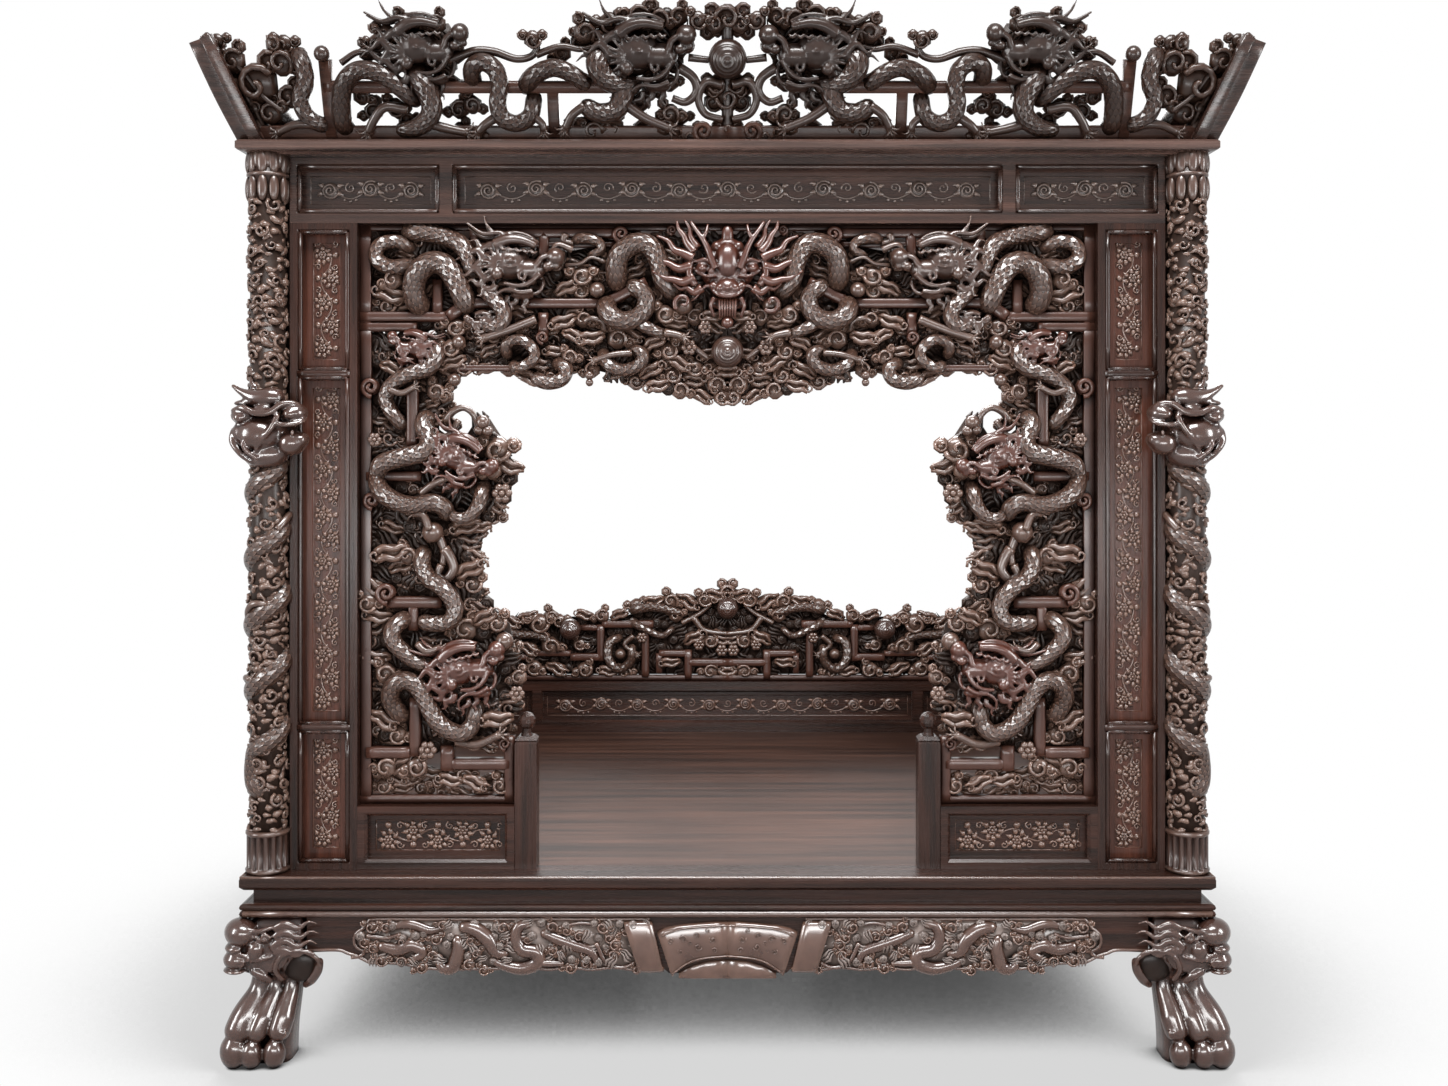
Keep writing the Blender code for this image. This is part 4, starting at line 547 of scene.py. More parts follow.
def limb(store, panel, points, radii, around=14, step=0.005):
    # A fleshy form along a path, with a radius at each point and rounded ends
    path, out = onPanel(panel, curveThrough(points, step))
    girth = np.interp(np.linspace(0, len(radii) - 1, len(path)), np.arange(len(radii)), radii)
    run = np.concatenate([[0], np.cumsum(np.linalg.norm(np.diff(path, axis=0), axis=1))])
    ends = np.minimum(1, np.minimum(run / radii[0], (run[-1] - run) / radii[-1]))
    sweep(store, path, out, (girth * np.sqrt(np.maximum(0.02, 1 - (1 - ends) ** 2)))[:, None], around)


def flame(store, panel, base, tip, radius, wave=0.13):
    # A wavy tongue of mane, thick at its root
    base, tip = np.array(base), np.array(tip)
    run = tip - base
    aside = np.array([-run[1], run[0], 0]) * wave
    bends = [(0.0, 0.0), (0.28, 1.0), (0.55, -0.7), (0.8, 0.7), (1.0, -0.2)]
    path, out = onPanel(panel, curveThrough([base + run * t + aside * s for t, s in bends], 0.005))
    t = np.linspace(0, 1, len(path))
    sweep(store, path, out, (radius * (0.75 + 0.5 * np.sin(np.pi * t)) * (1 - 0.8 * t))[:, None], 8, 0.8)


def dragonHead(store, panel, spot, size, facing=1, tilt=0.0, depth=1.0):
    # Profile of a dragon: forward is the way it faces, and all sizes are shares of the head
    c, s = math.cos(tilt), math.sin(tilt)

    def at(ahead, up, out=0.0):
        return (spot[0] + facing * (ahead * c - up * s) * size, spot[1] + (ahead * s + up * c) * size,
                spot[2] + out * size * depth)

    def egg(ahead, up, out, ra, rb, rd):
        ball(store, panel, at(ahead, up, out), ra * size, rb * size, rd * size, 9, 14)

    def line(points, radius, tip=1.0):
        rod(store, panel, [at(*p) for p in points], radius * size, tip, 8, size * 0.06)

    egg(-0.20, 0.08, 0.0, 0.52, 0.46, 0.40)
    egg(0.32, -0.06, 0.06, 0.46, 0.30, 0.34)
    egg(1.00, 0.36, 0.12, 0.25, 0.25, 0.28)
    egg(0.84, 0.08, 0.24, 0.16, 0.13, 0.16)
    egg(1.04, 0.12, 0.16, 0.13, 0.11, 0.14)
    line([(0.34, -0.06, 0.3), (0.54, 0.06, 0.34), (0.64, 0.26, 0.3), (0.86, 0.38, 0.26)], 0.10, 0.8)
    line([(-0.62, 0.48, 0.26), (-0.30, 0.64, 0.34), (0.05, 0.68, 0.36), (0.46, 0.58, 0.3)], 0.17, 0.6)
    line([(-0.66, 0.66, 0.10), (-0.25, 0.84, 0.18), (0.15, 0.84, 0.2), (0.5, 0.68, 0.16)], 0.09, 0.5)
    for i in range(5):
        line([(-0.45 + 0.2 * i, 0.44, 0.36), (-0.36 + 0.2 * i, 0.36, 0.44), (-0.28 + 0.2 * i, 0.42, 0.36)],
             0.055, 0.6)
    curl(store, panel, at(0.24, -0.27, 0.36), 0.18 * size, facing, 0.3, 1.1, 0.34)
    egg(-0.16, 0.10, 0.42, 0.15, 0.13, 0.12)
    egg(-0.14, 0.10, 0.53, 0.07, 0.07, 0.06)
    line([(-0.36, 0.02, 0.38), (-0.16, -0.07, 0.46), (0.06, 0.00, 0.40)], 0.05, 0.7)
    egg(-0.46, -0.28, 0.36, 0.16, 0.16, 0.15)
    for i in range(7):
        a = 2.0 + 0.34 * i
        line([(-0.36 + 0.12 * math.cos(a), -0.04 + 0.12 * math.sin(a), 0.4),
              (-0.36 + 0.42 * math.cos(a), -0.04 + 0.42 * math.sin(a), 0.34),
              (-0.36 + 0.66 * math.cos(a), -0.04 + 0.66 * math.sin(a), 0.14)], 0.065, 0.5)
    line([(0.66, -0.14, 0.3), (0.40, -0.44, 0.36), (0.10, -0.54, 0.36), (-0.26, -0.50, 0.3)], 0.075, 0.7)
    line([(0.52, -0.62, 0.3), (0.20, -0.70, 0.34), (-0.14, -0.66, 0.3), (-0.40, -0.80, 0.24),
          (-0.46, -1.05, 0.2)], 0.08, 0.4)
    line([(0.60, -0.16, -0.1), (0.74, -0.36, 0.0), (0.66, -0.62, 0.1), (0.48, -0.70, 0.2)], 0.07, 0.7)
    egg(0.24, -0.74, 0.05, 0.32, 0.13, 0.22)
    for i in range(4):
        line([(0.14 + 0.13 * i, -0.48 + 0.07 * i, 0.34), (0.16 + 0.12 * i, -0.60 + 0.05 * i, 0.34)], 0.05,
             0.3)
    for out, reach in ((0.22, 1.0), (-0.14, 0.9)):
        line([(-0.1, 0.62, out), (-0.55, 0.80 * reach, out), (-1.0, 0.74 * reach, out),
              (-1.45, 0.98 * reach, out)], 0.11, 0.3)
        line([(-0.7, 0.78 * reach, out), (-0.92, 1.0 * reach, out), (-1.02, 1.25 * reach, out)], 0.06, 0.3)
    mane = [(0.30, -1.35, 0.52), (0.12, -1.60, 0.22), (-0.08, -1.70, -0.06), (-0.26, -1.55, -0.34),
            (-0.44, -1.30, -0.62),
            (-0.55, -0.95, -0.92), (0.45, -1.05, 0.40)]
    for i, (rise, reach, end) in enumerate(mane):
        flame(store, panel, at(-0.48, rise, 0.22), at(reach, end, 0.1 + 0.06 * (i % 2)), 0.135 * size,
              0.13 if i % 2 else -0.13)
    for i in range(3):
        flame(store, panel, at(0.30 - 0.22 * i, -0.80, 0.1), at(0.36 - 0.42 * i, -1.25, 0.1), 0.09 * size)


def pieceName(node):
    # A solid's name with its words run together
    first, *rest = node.split("_")
    return first + "".join(word.title() for word in rest)


def finishPiece(name, store, material, stands=(), voxel=None, easing=2):
    # With a voxel size, the strokes grow together into one skin, which is eased and thinned
    mesh = bpy.data.meshes.new(name)
    mesh.from_pydata(np.vstack(store["points"]).tolist(), [], store["faces"])
    skin = mesh.attributes.new("scale", "FLOAT_VECTOR", "POINT")
    skin.data.foreach_set("vector", np.vstack(store["scales"]).reshape(-1))
    piece = bpy.data.objects.new(name, mesh)
    bpy.context.scene.collection.objects.link(piece)
    mesh.materials.append(material)
    bpy.ops.object.select_all(action="DESELECT")
    piece.select_set(True)
    bpy.context.view_layer.objects.active = piece
    if voxel:
        skin = piece.modifiers.new("skin", "REMESH")
        skin.mode = "VOXEL"
        skin.voxel_size = voxel
        bpy.ops.object.modifier_apply(modifier="skin")
        ease = piece.modifiers.new("ease", "SMOOTH")
        ease.iterations = easing
        ease.factor = 0.5
        bpy.ops.object.modifier_apply(modifier="ease")
        thin = piece.modifiers.new("thin", "DECIMATE")
        thin.ratio = 0.36
        bpy.ops.object.modifier_apply(modifier="thin")
    bpy.ops.object.shade_smooth()
    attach(piece, "root")
    if stands:
        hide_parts(*stands)


# Levels of the bed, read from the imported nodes
jointGap = 0.0003
frameLow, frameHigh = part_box("door_frame_left")
frameFace = frameLow[1]
frameMiddle = (frameLow[1] + frameHigh[1]) / 2
frameOuter = abs(frameLow[0])
fretEdge = abs(frameHigh[0]) - jointGap
skirtEdge = abs(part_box("skirt_frame_left")[1][0])
railLow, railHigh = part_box("platform_rail_front")
edgeX, frontEdge, platformTop = abs(railLow[0]), railLow[1], railHigh[2]
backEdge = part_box("platform_rail_back")[1][1]
middleY = (frontEdge + backEdge) / 2
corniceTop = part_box("cornice_front")[1][2]


# Side frets: three winding dragons among clouds, on a frame of round bars
fret = {
    "boards": [((3.6, 0), (3.6, 100), 13, 10)],
    "bars": [
        ((0, 99), (36, 99), 11), ((33.5, 73.7), (33.5, 93), 14), ((4, 68), (39, 68), 12),
        ((17, 41.8), (52, 41.8), 14),
        ((34, 42), (34, 36), 12), ((35.4, 22), (35.4, 10), 14), ((4, 10.6), (32, 10.6), 14),
        ((56, 12), (56, 7), 16),
        ((57, 8.2), (96, 8.2), 14), ((96, 14), (96, 0.5), 13), ((0, 0.9), (100, 0.9), 10),
    ],
    "scrolls": [(7.5, 86.5, 21), (8, 63, 18), (17.5, 43.8, 23), (93.5, 12.6, 14)],
    "bodies": [
        (20, 0.8, [(47, 96), (50, 93.5, 4), (45, 90.6, 10), (33, 89.2, 14), (22, 87.2, 10), (16.5, 84.5),
                   (19, 82),
                   (24, 79.8), (27, 78.2)]),
        (23, 0.9, [(43, 81), (41, 78.5), (44.5, 76, 6), (44, 73.8, 12), (38, 72.6, 14), (26, 71.8, 14),
                   (15, 70.6, 8),
                   (11, 68.3, -8), (12, 66, 4), (17, 64.2, 14), (26, 62.6, 18), (36, 62, 18), (47, 62.6, 14),
                   (54, 61.5, 6),
                   (55, 59.5)]),
        (19, 0.6, [(79, 66.5), (77, 62.5, 8), (71, 59.8, 14), (63, 59.4, 12), (57, 60.5, 6)]),
        (20, 0.95, [(41, 53), (40, 49.5), (45, 46.8, 8), (53, 45.2, 14), (60, 42.5, 14), (61.5, 40, 10),
                    (57, 37.8, 6),
                    (47, 37.4), (38, 37.8)]),
        (21, 0.8, [(31, 38.8), (25, 37.6, 8), (21.5, 35.8, 14), (23, 33.6, 14), (29, 31.6, 12),
                   (36, 29.8, 10),
                   (47, 28.2, 6)]),
        (22, 0.9, [(28.4, 17.6), (22.5, 20), (20, 22.6, 8), (24, 25.2, 14), (32, 25.8, 14), (39, 24, 12),
                   (44, 21, 12),
                   (50, 17.6, 14), (58, 15.5, 14), (67, 14.9, 12), (73, 17), (74, 21)]),
    ],
    "arms": [(11, [(62, 13), (76, 12.6, 10), (90, 14.6, 14)]),
             (9, [(40, 64.4, 10), (48, 66.4, 16), (56, 67.6, 18)]),
             (9, [(38, 33.4, 14), (44, 32, 22), (52, 32.6, 20)]),
             (8, [(20, 86, 18), (28, 85.2, 24), (36, 86.4, 20)]),
             (8, [(64, 79.6, 6), (58, 76.6, 14), (52, 76.4, 14)]),
             (10, [(46, 57, 20), (42, 60, 20), (36, 60.4, 16)])],
    "bands": [(9, [(55, 79.5), (60, 81.4, 4), (67, 82.2, 6), (73, 80.8, 6), (76, 78)]),
              (13, [(54, 53), (58, 51), (60, 48.6), (55, 46.6), (50, 47.4), (52, 49.6)]),
              (11, [(50, 56), (54, 52.4), (53, 49.6)])],
    "heads": [(34, 94.6, 0.048, -1, 0.2), (65, 71.2, 0.070, 1, -0.5), (69, 28, 0.080, 1, 0.25)],
    "grounds": [[(3, 98), (50, 97), (60, 93), (60, 87), (55, 83), (49, 80), (50, 73.5), (60, 73), (66, 76),
                 (74, 80), (82, 80),
               (92, 75), (98, 70), (96, 65), (88, 60), (78, 56), (75, 50), (77, 44), (86, 40), (95, 37),
                 (99, 31), (104, 25), (98, 18), (90, 13.5),
               (60, 13.5), (40, 10), (3, 4)]],
    "balls": [(79, 79.2, 17), (82, 77.4, 13), (76.5, 77.6, 12), (47, 56.4, 25), (93, 33.8, 21), (61, 88, 15)],
    "flowers": [(91.6, 64.5, 23), (44, 11.3, 21), (10, 75.6, 16), (101, 23, 18)],
    "front": [(58, 94.5, 16), (60, 91.6, 16), (48, 85.6, 16), (20.5, 90.6, 15), (88, 73.5, 24), (95, 70, 19),
              (85, 69.2, 16),
              (70, 48.7, 19), (72, 45.4, 17), (20.5, 52, 22), (30, 51.6, 17), (6.6, 45.2, 19),
              (4.8, 41.6, 17),
              (11.5, 38.8, 17), (67.5, 36, 21), (80, 38.9, 16), (88, 37.4, 17), (9.5, 30, 18), (16.5, 27, 19),
              (14.5, 17.6, 19), (23.5, 14, 16), (88, 17.4, 20), (16.5, 7.4, 18), (26.5, 8, 18),
              (36.5, 7.6, 18),
              (58, 4.8, 16), (66, 5.6, 16), (74, 4.6, 16), (90, 3.8, 15), (68, 57.4, 18)],
    "rear": [(14, 93, 12), (12, 96.4, 10), (52, 96.6, 15), (57, 90, 15), (47, 88, 14), (42, 86.4, 14),
             (54, 84.6, 14),
             (44, 83.2, 13), (52, 81.4, 15), (46, 79.4, 15), (56, 79, 13), (14, 78, 16), (18, 75.8, 15),
             (10, 79.6, 12),
             (22, 77, 12), (8, 73.6, 13), (26, 75.2, 13), (28, 64.6, 14), (33, 65.2, 12), (86, 62, 15),
             (83, 59.8, 17),
             (76, 57.4, 15), (94, 67.2, 14), (73, 55.8, 16), (60, 57, 14), (68, 53.8, 17), (62, 53.2, 14),
             (73, 51.4, 15),
             (64, 47.4, 13), (74, 43.2, 15), (70, 41, 16), (66, 44.4, 13), (12, 58.8, 17), (20, 57.2, 15),
             (28, 57.8, 14),
             (35, 58.8, 14), (38, 55.6, 13), (30, 54.6, 13), (13, 53.4, 14), (25, 49.4, 17), (33, 48.2, 14),
             (12, 49.6, 14),
             (38, 46.4, 12), (27, 45.6, 12), (13, 46.8, 14), (8.6, 36.2, 17), (16, 40.2, 13), (14, 34, 14),
             (5, 33.4, 13),
             (5.6, 26.8, 15), (4.5, 29.8, 13), (12, 24.2, 13), (20, 16, 14), (9, 19.6, 13), (10, 14.8, 13),
             (17, 13, 12),
             (70, 39.4, 16), (75, 40.6, 14), (84, 36.2, 14), (77, 35.4, 15), (61, 34.6, 14), (55, 33, 14),
             (48, 33.2, 14),
             (42, 33.6, 13), (97, 31.4, 13), (96, 27.4, 15), (101, 26, 14), (94, 21.6, 15), (95, 19.4, 15),
             (84, 19.6, 14),
             (92, 15.8, 13), (80, 11.4, 13), (72, 12.2, 14), (62, 18.6, 14), (55, 21, 15), (60, 23.4, 14),
             (45, 15, 13),
             (48, 12.6, 13), (10, 6.2, 14), (22, 5.4, 14), (32, 5, 14), (44, 6.2, 14), (50, 4.2, 15),
             (82, 4.4, 15),
             (14, 3.2, 14), (26, 2.8, 14), (38, 2.6, 13), (64, 2, 14), (52, 1.8, 12), (78, 2, 13)],
}


def carveBars(store, panel, design):
    # Square-edged boards, round-edged bars and their scrolled ends.
    # Designs give places in percent of the panel, and these sizes in millimetres.
    for start, end, half, deep in design.get("boards", ()):
        line = straight(*share(panel, [start, end], -0.004))
        rod(store, panel, line, half / 1000, 1.0, 20, 0.05, deep / half, 0.25)
    for start, end, thick in design.get("bars", ()):
        line = straight(*share(panel, [start, end], -0.004))
        rod(store, panel, line, thick / 1000, 1.0, 16, 0.02, 1.1, 0.55)
    for u, v, size in design.get("scrolls", ()):
        curl(store, panel, share(panel, [(u, v)], 0.012)[0], size / 1000, -1, -1.5, 1.5, 0.34)
        ball(store, panel, share(panel, [(u, v)], 0.0)[0], size / 1150, None, 0.010)


def carveDragons(store, panel, design):
    for girth, tip, points in design.get("bodies", ()):
        scaledBody(store, panel, share(panel, points, 0.006), girth / 1000, tip)
    for girth, points in design.get("arms", ()):
        path = share(panel, points, 0.008)
        rod(store, panel, path, girth / 1000, 0.8, 10)
        heading = math.atan2(path[-1][1] - path[-2][1], path[-1][0] - path[-2][0])
        claw(store, panel, path[-1], girth / 1000 * 1.9, heading)
    for girth, points in design.get("bands", ()):
        rod(store, panel, share(panel, points, 0.004), girth / 1000, 0.7, 10)


def carveClouds(store, panel, design):
    for u, v, size in design.get("balls", ()):
        ball(store, panel, share(panel, [(u, v)], 0.010)[0], size / 1000, None, None, 9, 14)
    for u, v, size in design.get("flowers", ()):
        flower(store, panel, share(panel, [(u, v)], 0.014)[0], size / 1000)
    streaks = design.get("streaks", True)
    clouds(store, panel, design.get("front", ()), 0.012, streaks)
    clouds(store, panel, design.get("rear", ()), -0.008, streaks)


def carveGround(store, panel, design):
    for outline in design["grounds"]:
        crowd(store, panel, outline, 0.034, 0.021, -0.018)
        plate(store, panel, outline, -0.020, 0.006)


def carvePanel(panel, design, name, stands=(), wood=carvedWood, bars=barWood, dragons=scaledWood):
    # Each panel is carved as four pieces: its bars, its dragons, its clouds and the ground behind them, in a
    # darker copy that paints shade
    layers = (("Bars", carveBars, bars), ("Dragons", carveDragons, dragons), ("Clouds", carveClouds, wood),
              ("Ground", carveGround, shadedCarving))
    for layer, carve, material in layers:
        store = newStore()
        carve(store, panel, design)
        finishPiece(name + layer, store, material, stands)
        stands = ()


def carveHeads(panel, design, name, material):
    store = newStore()
    for u, v, size, facing, tilt in design["heads"]:
        dragonHead(store, panel, share(panel, [(u, v)], 0.016)[0], size, facing, tilt, 0.8)
    finishPiece(name, store, material, voxel=0.0022)


fretLow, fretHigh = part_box("fret_left")
for hand, side in (("Left", -1), ("Right", 1)):
    panel = flatPanel(side * fretEdge, side * skirtEdge, fretLow[2], fretHigh[2], frameMiddle)
    carvePanel(panel, fret, f"fret{hand}", [f"fret_{hand.lower()}"])
    carveHeads(panel, fret, f"fret{hand}Heads", redWood)
print("frets carved")


# Lintel over the doorway: two dragons each side of a facing mask, with a scalloped cloud edge below
lintel = {
    "drop": 0.423,
    "boards": [((1.4, 46), (1.4, 100), 13, 10)],
    "bars": [
        ((0, 50), (24, 50), 12), ((24, 50), (29, 57.5), 14), ((29, 57.5), (40, 58), 13),
        ((44, 57.4), (66, 57.4), 12), ((30, 95.6), (70, 95.6), 12), ((31, 96), (31, 84), 11),
        ((50, 96), (50, 80), 12),
        ((32, 89.4), (70, 89.4), 7), ((21, 52), (21, 70), 12), ((49.8, 52), (49.8, 40), 12),
        ((25, 22), (42, 22), 8),
        ((67, 57.5), (78, 69), 13), ((0, 98.5), (100, 98.5), 7),
    ],
    "scrolls": [(71.2, 94.8, 18), (85, 97, 11), (49.8, 38.5, 14)],
    "bodies": [
        (15, 1.3, [(14, 87), (10, 91), (5.5, 89), (4.5, 82), (8, 77), (14, 77.6)]),
        (23, 0.9, [(12, 96.5), (18, 96), (24, 93), (28, 88, 8), (30, 80, 8), (30.5, 70)]),
        (26, 1.0, [(17, 53), (15, 61, 6), (15.5, 71, 12), (19, 78.5, 14), (23, 78, 14), (26, 71, 12),
                   (28, 62, 6), (29, 54)]),
        (20, 0.9, [(33, 67, 8), (37, 59, 14), (39.4, 51, 14), (37.6, 44.6, 10), (31, 45.6)]),
        (13, 1.0, [(40, 28), (40, 34.6, 8), (43.5, 37.4, 10), (47, 33, 10), (47.4, 27, 8), (43.6, 22, 6),
                   (41, 24)]),
        (25, 0.9, [(70, 66), (69.8, 76, 8), (71, 84, 12), (75, 89.4, 14), (79, 88, 14), (81.4, 80, 10),
                   (82.6, 70, 4),
                   (86, 62)]),
        (24, 0.8, [(67, 59, 4), (67.6, 52, 12), (71, 47.4, 16), (75, 48.6, 16), (77.6, 54, 12),
                   (77.4, 62, 6), (73, 68)]),
        (17, 0.6, [(75, 48, 10), (79, 43, 14), (84, 39.6, 10)]),
        (15, 1.0, [(66, 31), (67, 25.4, 8), (71, 20.6, 12), (75.6, 23, 12), (77, 29, 8), (74, 32.6)]),
        (13, 0.7, [(58, 91.5), (61, 92.6, 8), (65, 90.4, 10), (65.6, 86, 8), (62, 83)]),
        (17, 1.0, [(53, 25), (56, 22), (55, 16), (51, 14), (47, 17)]),
    ],
    "arms": [(11, [(48, 48.4, 6), (41, 42.6, 12), (34, 38, 14)]),
             (8, [(58, 86, 10), (54, 88.6, 14), (52.5, 84, 12)]),
             (10, [(83, 41, 12), (86, 40, 14), (88, 38.6, 14)]),
             (8, [(74, 30, 12), (69, 29, 16), (64, 26, 14)])],
    "bands": [(5, [(56, 78), (60, 78.6, 8), (63, 82, 10), (67, 79.6, 8)]),
              (10, [(56, 95), (55.5, 91), (58, 90)]),
              (8, [(88, 38), (91, 33), (95, 27)]), (7, [(61, 47), (63, 49, 8), (66, 47, 8), (66.6, 42)])],
    "heads": [(43, 77, 0.086, 1, -0.12), (33.5, 46, 0.034, -1, 0.0)],
    "grounds": [[(1.2, 98), (28, 95), (31, 84), (50, 84), (72, 92), (100, 96), (100, 5), (96, 5), (92, 7),
                 (89, 10), (86, 11),
               (82, 11), (78, 14), (74, 16), (70, 18), (64, 21), (57, 23), (51, 17), (47, 17), (43, 21),
                 (40, 24), (28, 24),
               (27, 43), (1.2, 43)]],
    "balls": [(64.6, 64.4, 18), (27, 36, 16), (88, 56, 22), (62.5, 14, 9), (62.5, 18, 11)],
    "flowers": [(89.6, 33, 18), (94, 44, 16)],
    "front": [(60.3, 72, 18), (55.4, 47, 17), (60.6, 48.6, 15), (58, 40, 14), (26, 44, 17), (8, 62, 20),
              (9, 70, 16),
              (56, 66, 16), (60, 64, 14), (63, 38, 17), (70, 38, 18), (74, 40, 14), (83, 51, 17),
              (86, 46, 14), (91, 50, 15),
              (80, 36, 15), (84, 31, 16), (53, 31, 14), (57, 28, 14), (87, 25, 15), (91, 22, 15),
              (96, 50, 14)],
    "rear": [(7, 56, 16), (12, 57, 15), (5, 73, 14), (12, 84, 13), (9, 84, 12), (19, 88, 15), (16, 91, 14),
             (20, 66, 15),
             (21, 60, 14), (24, 46.6, 15), (30, 40, 16), (26, 39, 14), (36, 40, 14), (31, 33, 15),
             (26, 30, 13), (35, 32, 14),
             (30, 26, 13), (35, 26, 13), (33, 90, 13), (36, 93, 12), (44, 92, 13), (40, 66, 15),
             (45, 66, 15), (50, 66, 15),
             (53, 79, 15), (58, 79, 14), (57, 73, 15), (63, 75, 16), (66, 84, 15), (68, 90, 14),
             (54, 60, 14), (64, 69, 15),
             (67, 70, 15), (44, 52, 15), (47, 46, 14), (53, 52, 14), (44, 43, 14), (52, 43, 14),
             (52, 37, 14), (58, 52, 14),
             (63, 53, 15), (64, 44, 14), (67, 44, 14), (60, 32, 14), (64, 32, 14), (75, 75, 16),
             (76, 81, 14), (73, 58, 15),
             (80, 62, 15), (80, 56, 15), (84, 57, 14), (82, 46, 14), (90, 41, 15), (92, 37, 14),
             (86, 35, 14), (92, 56, 14),
             (95, 39, 14), (97, 44, 14), (80, 30, 14), (68, 34, 14), (83, 25, 14), (79, 22, 14),
             (85, 91, 15), (84, 84, 15),
             (86, 76, 15), (88, 68, 15), (90, 62, 14), (80, 94, 13), (73, 95, 12), (95, 30, 14),
             (94, 16, 14)],
    "fringe": [(28, 22, 15), (34, 22, 14), (40, 22, 15), (46, 17, 16), (52, 17, 16), (57, 22, 14),
               (63, 21, 14), (69, 19, 15),
               (75, 15, 16), (81, 12, 16), (87, 10, 16), (93, 7, 15), (98.6, 6, 15), (49, 24, 15),
               (73, 24, 15), (79, 21, 16),
               (85, 18, 16), (91, 15, 16), (97, 13, 16), (88, 26, 15), (95, 22, 15), (100, 20, 15)],
}
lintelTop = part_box("fret_lintel")[1][2]
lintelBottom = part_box("frieze_frame")[0][2] - jointGap - lintel["drop"]
mask = {"forehead": 79.5, "pearl": 30.5}


def carveMask(store, panel, spot):
    # A dragon's face from the front; places and sizes in millimetres from the middle of its smooth forehead
    def at(a, b, out=0.0):
        return (spot[0] + a / 1000, spot[1] + b / 1000, spot[2] + out / 1000)

    def egg(a, b, out, ra, rb, rd):
        ball(store, panel, at(a, b, out), ra / 1000, rb / 1000, rd / 1000, 11, 16)

    def line(points, radius, tip=1.0):
        rod(store, panel, [at(*p) for p in points], radius / 1000, tip, 9, 0.005)

    egg(0, 0, 14, 28, 41, 26)
    egg(0, 20, -4, 44, 34, 20)
    egg(0, -25, 0, 62, 44, 26)
    egg(0, -58, 20, 24, 17, 20)
    egg(0, -62, 32, 12, 11, 10)
    egg(0, -72, 24, 24, 9, 12)
    egg(0, 60, -2, 14, 24, 12)
    line([(-34, -66, 18), (-20, -78, 28), (0, -82, 32), (20, -78, 28), (34, -66, 18)], 5.5)
    egg(0, -96, -4, 40, 16, 20)
    egg(0, -141, 12, 14, 13, 13)
    for way in (-1, 1):
        egg(way * 17, -64, 28, 11, 10, 10)
        egg(way * 32, -58, 20, 10, 10, 10)
        egg(way * 57, -17, 16, 15, 14, 14)
        egg(way * 58, -18, 28, 7, 7, 5)
        egg(way * 36, -25, 22, 9, 10, 10)
        egg(way * 25, 33, 6, 12, 13, 12)
        line([(way * 26, -34, 24), (way * 46, -36, 24), (way * 70, -26, 18), (way * 80, -10, 12)], 4.5, 0.6)
        line([(way * 34, -8, 26), (way * 52, 2, 24), (way * 72, -2, 18), (way * 84, 8, 12)], 6, 0.6)
        line([(way * 42, -46, 14), (way * 40, -28, 22), (way * 44, -8, 18)], 5, 0.7)
        line([(way * 28, -19, 28), (way * 40, 12, 30), (way * 52, 41, 26), (way * 74, 74, 18),
              (way * 84, 90, 12)], 9, 0.45)
        line([(way * 56, 50, 24), (way * 48, 66, 22), (way * 45, 84, 16)], 5.5, 0.5)
        line([(way * 34, -58, 16), (way * 52, -60, 18), (way * 70, -82, 14), (way * 84, -92, 8)], 5, 0.4)
        line([(way * 30, -84, 18), (way * 38, -104, 18), (way * 30, -128, 10)], 6, 0.6)
        line([(way * 74, -56, 12), (way * 88, -30, 18), (way * 84, -2, 16), (way * 92, 24, 10)], 9, 0.5)
        curl(store, panel, at(way * 101, -96, 14), 0.022, way, -2.4, 1.0, 0.26)
        egg(way * 101, -98, -6, 19, 19, 14)


mane = [
    (12, [(76, 20), (92, 40), (100, 58), (112, 74), (116, 92)]),
    (13, [(78, 6), (102, 18), (122, 26), (136, 46), (162, 58)]),
    (13, [(82, -12), (110, -18), (134, -6), (152, 0), (180, 12)]),
    (13, [(76, -36), (100, -48), (124, -42), (146, -38), (172, -22)]),
    (11, [(58, -62), (76, -72), (94, -60), (106, -64), (124, -50)]),
    (10, [(68, 30), (84, 54), (86, 74), (98, 94)]),
]


def carveMane(store, panel, spot):
    # Strands of the mask's mane, fanned out on both sides, and the beard; millimetres from the forehead
    for i in range(7):
        hair = [(-18 + 6 * i, -88, 20), (-18 + 6 * i, -110, 24), (-17 + 5.6 * i, -130, 14)]
        rod(store, panel, [tuple(s + p / 1000 for s, p in zip(spot, point)) for point in hair], 0.0029, 0.8,
            8)
    for way in (-1, 1):
        for thick, points in mane:
            strand = [(spot[0] + way * a / 1000, spot[1] + b / 1000, spot[2] + (14 - 2 * i) / 1000)
                      for i, (a, b) in enumerate(points)]
            rod(store, panel, strand, thick / 1000, 0.22, 10, 0.005)


lintelHeads = newStore()
for half, side in (("Left", -1), ("Right", 1)):
    panel = flatPanel(side * fretEdge, 0.0, lintelBottom, lintelTop, frameMiddle)
    carvePanel(panel, lintel, f"lintel{half}", ["fret_lintel"] if side < 0 else [])
    store = newStore()
    clouds(store, panel, lintel["fringe"], 0.0)
    finishPiece(f"lintel{half}Fringe", store, carvedWood)
    for u, v, size, facing, tilt in lintel["heads"]:
        dragonHead(lintelHeads, panel, share(panel, [(u, v)], 0.018)[0], size, facing, tilt, 0.8)
finishPiece("lintelHeads", lintelHeads, carvedWood, voxel=0.0022)
store = newStore()
panel = flatPanel(0.0, fretEdge, lintelBottom, lintelTop, frameMiddle)
carveMask(store, panel, share(panel, [(0, mask["forehead"])], 0.022)[0])
finishPiece("lintelMask", store, redWood, voxel=0.0022)
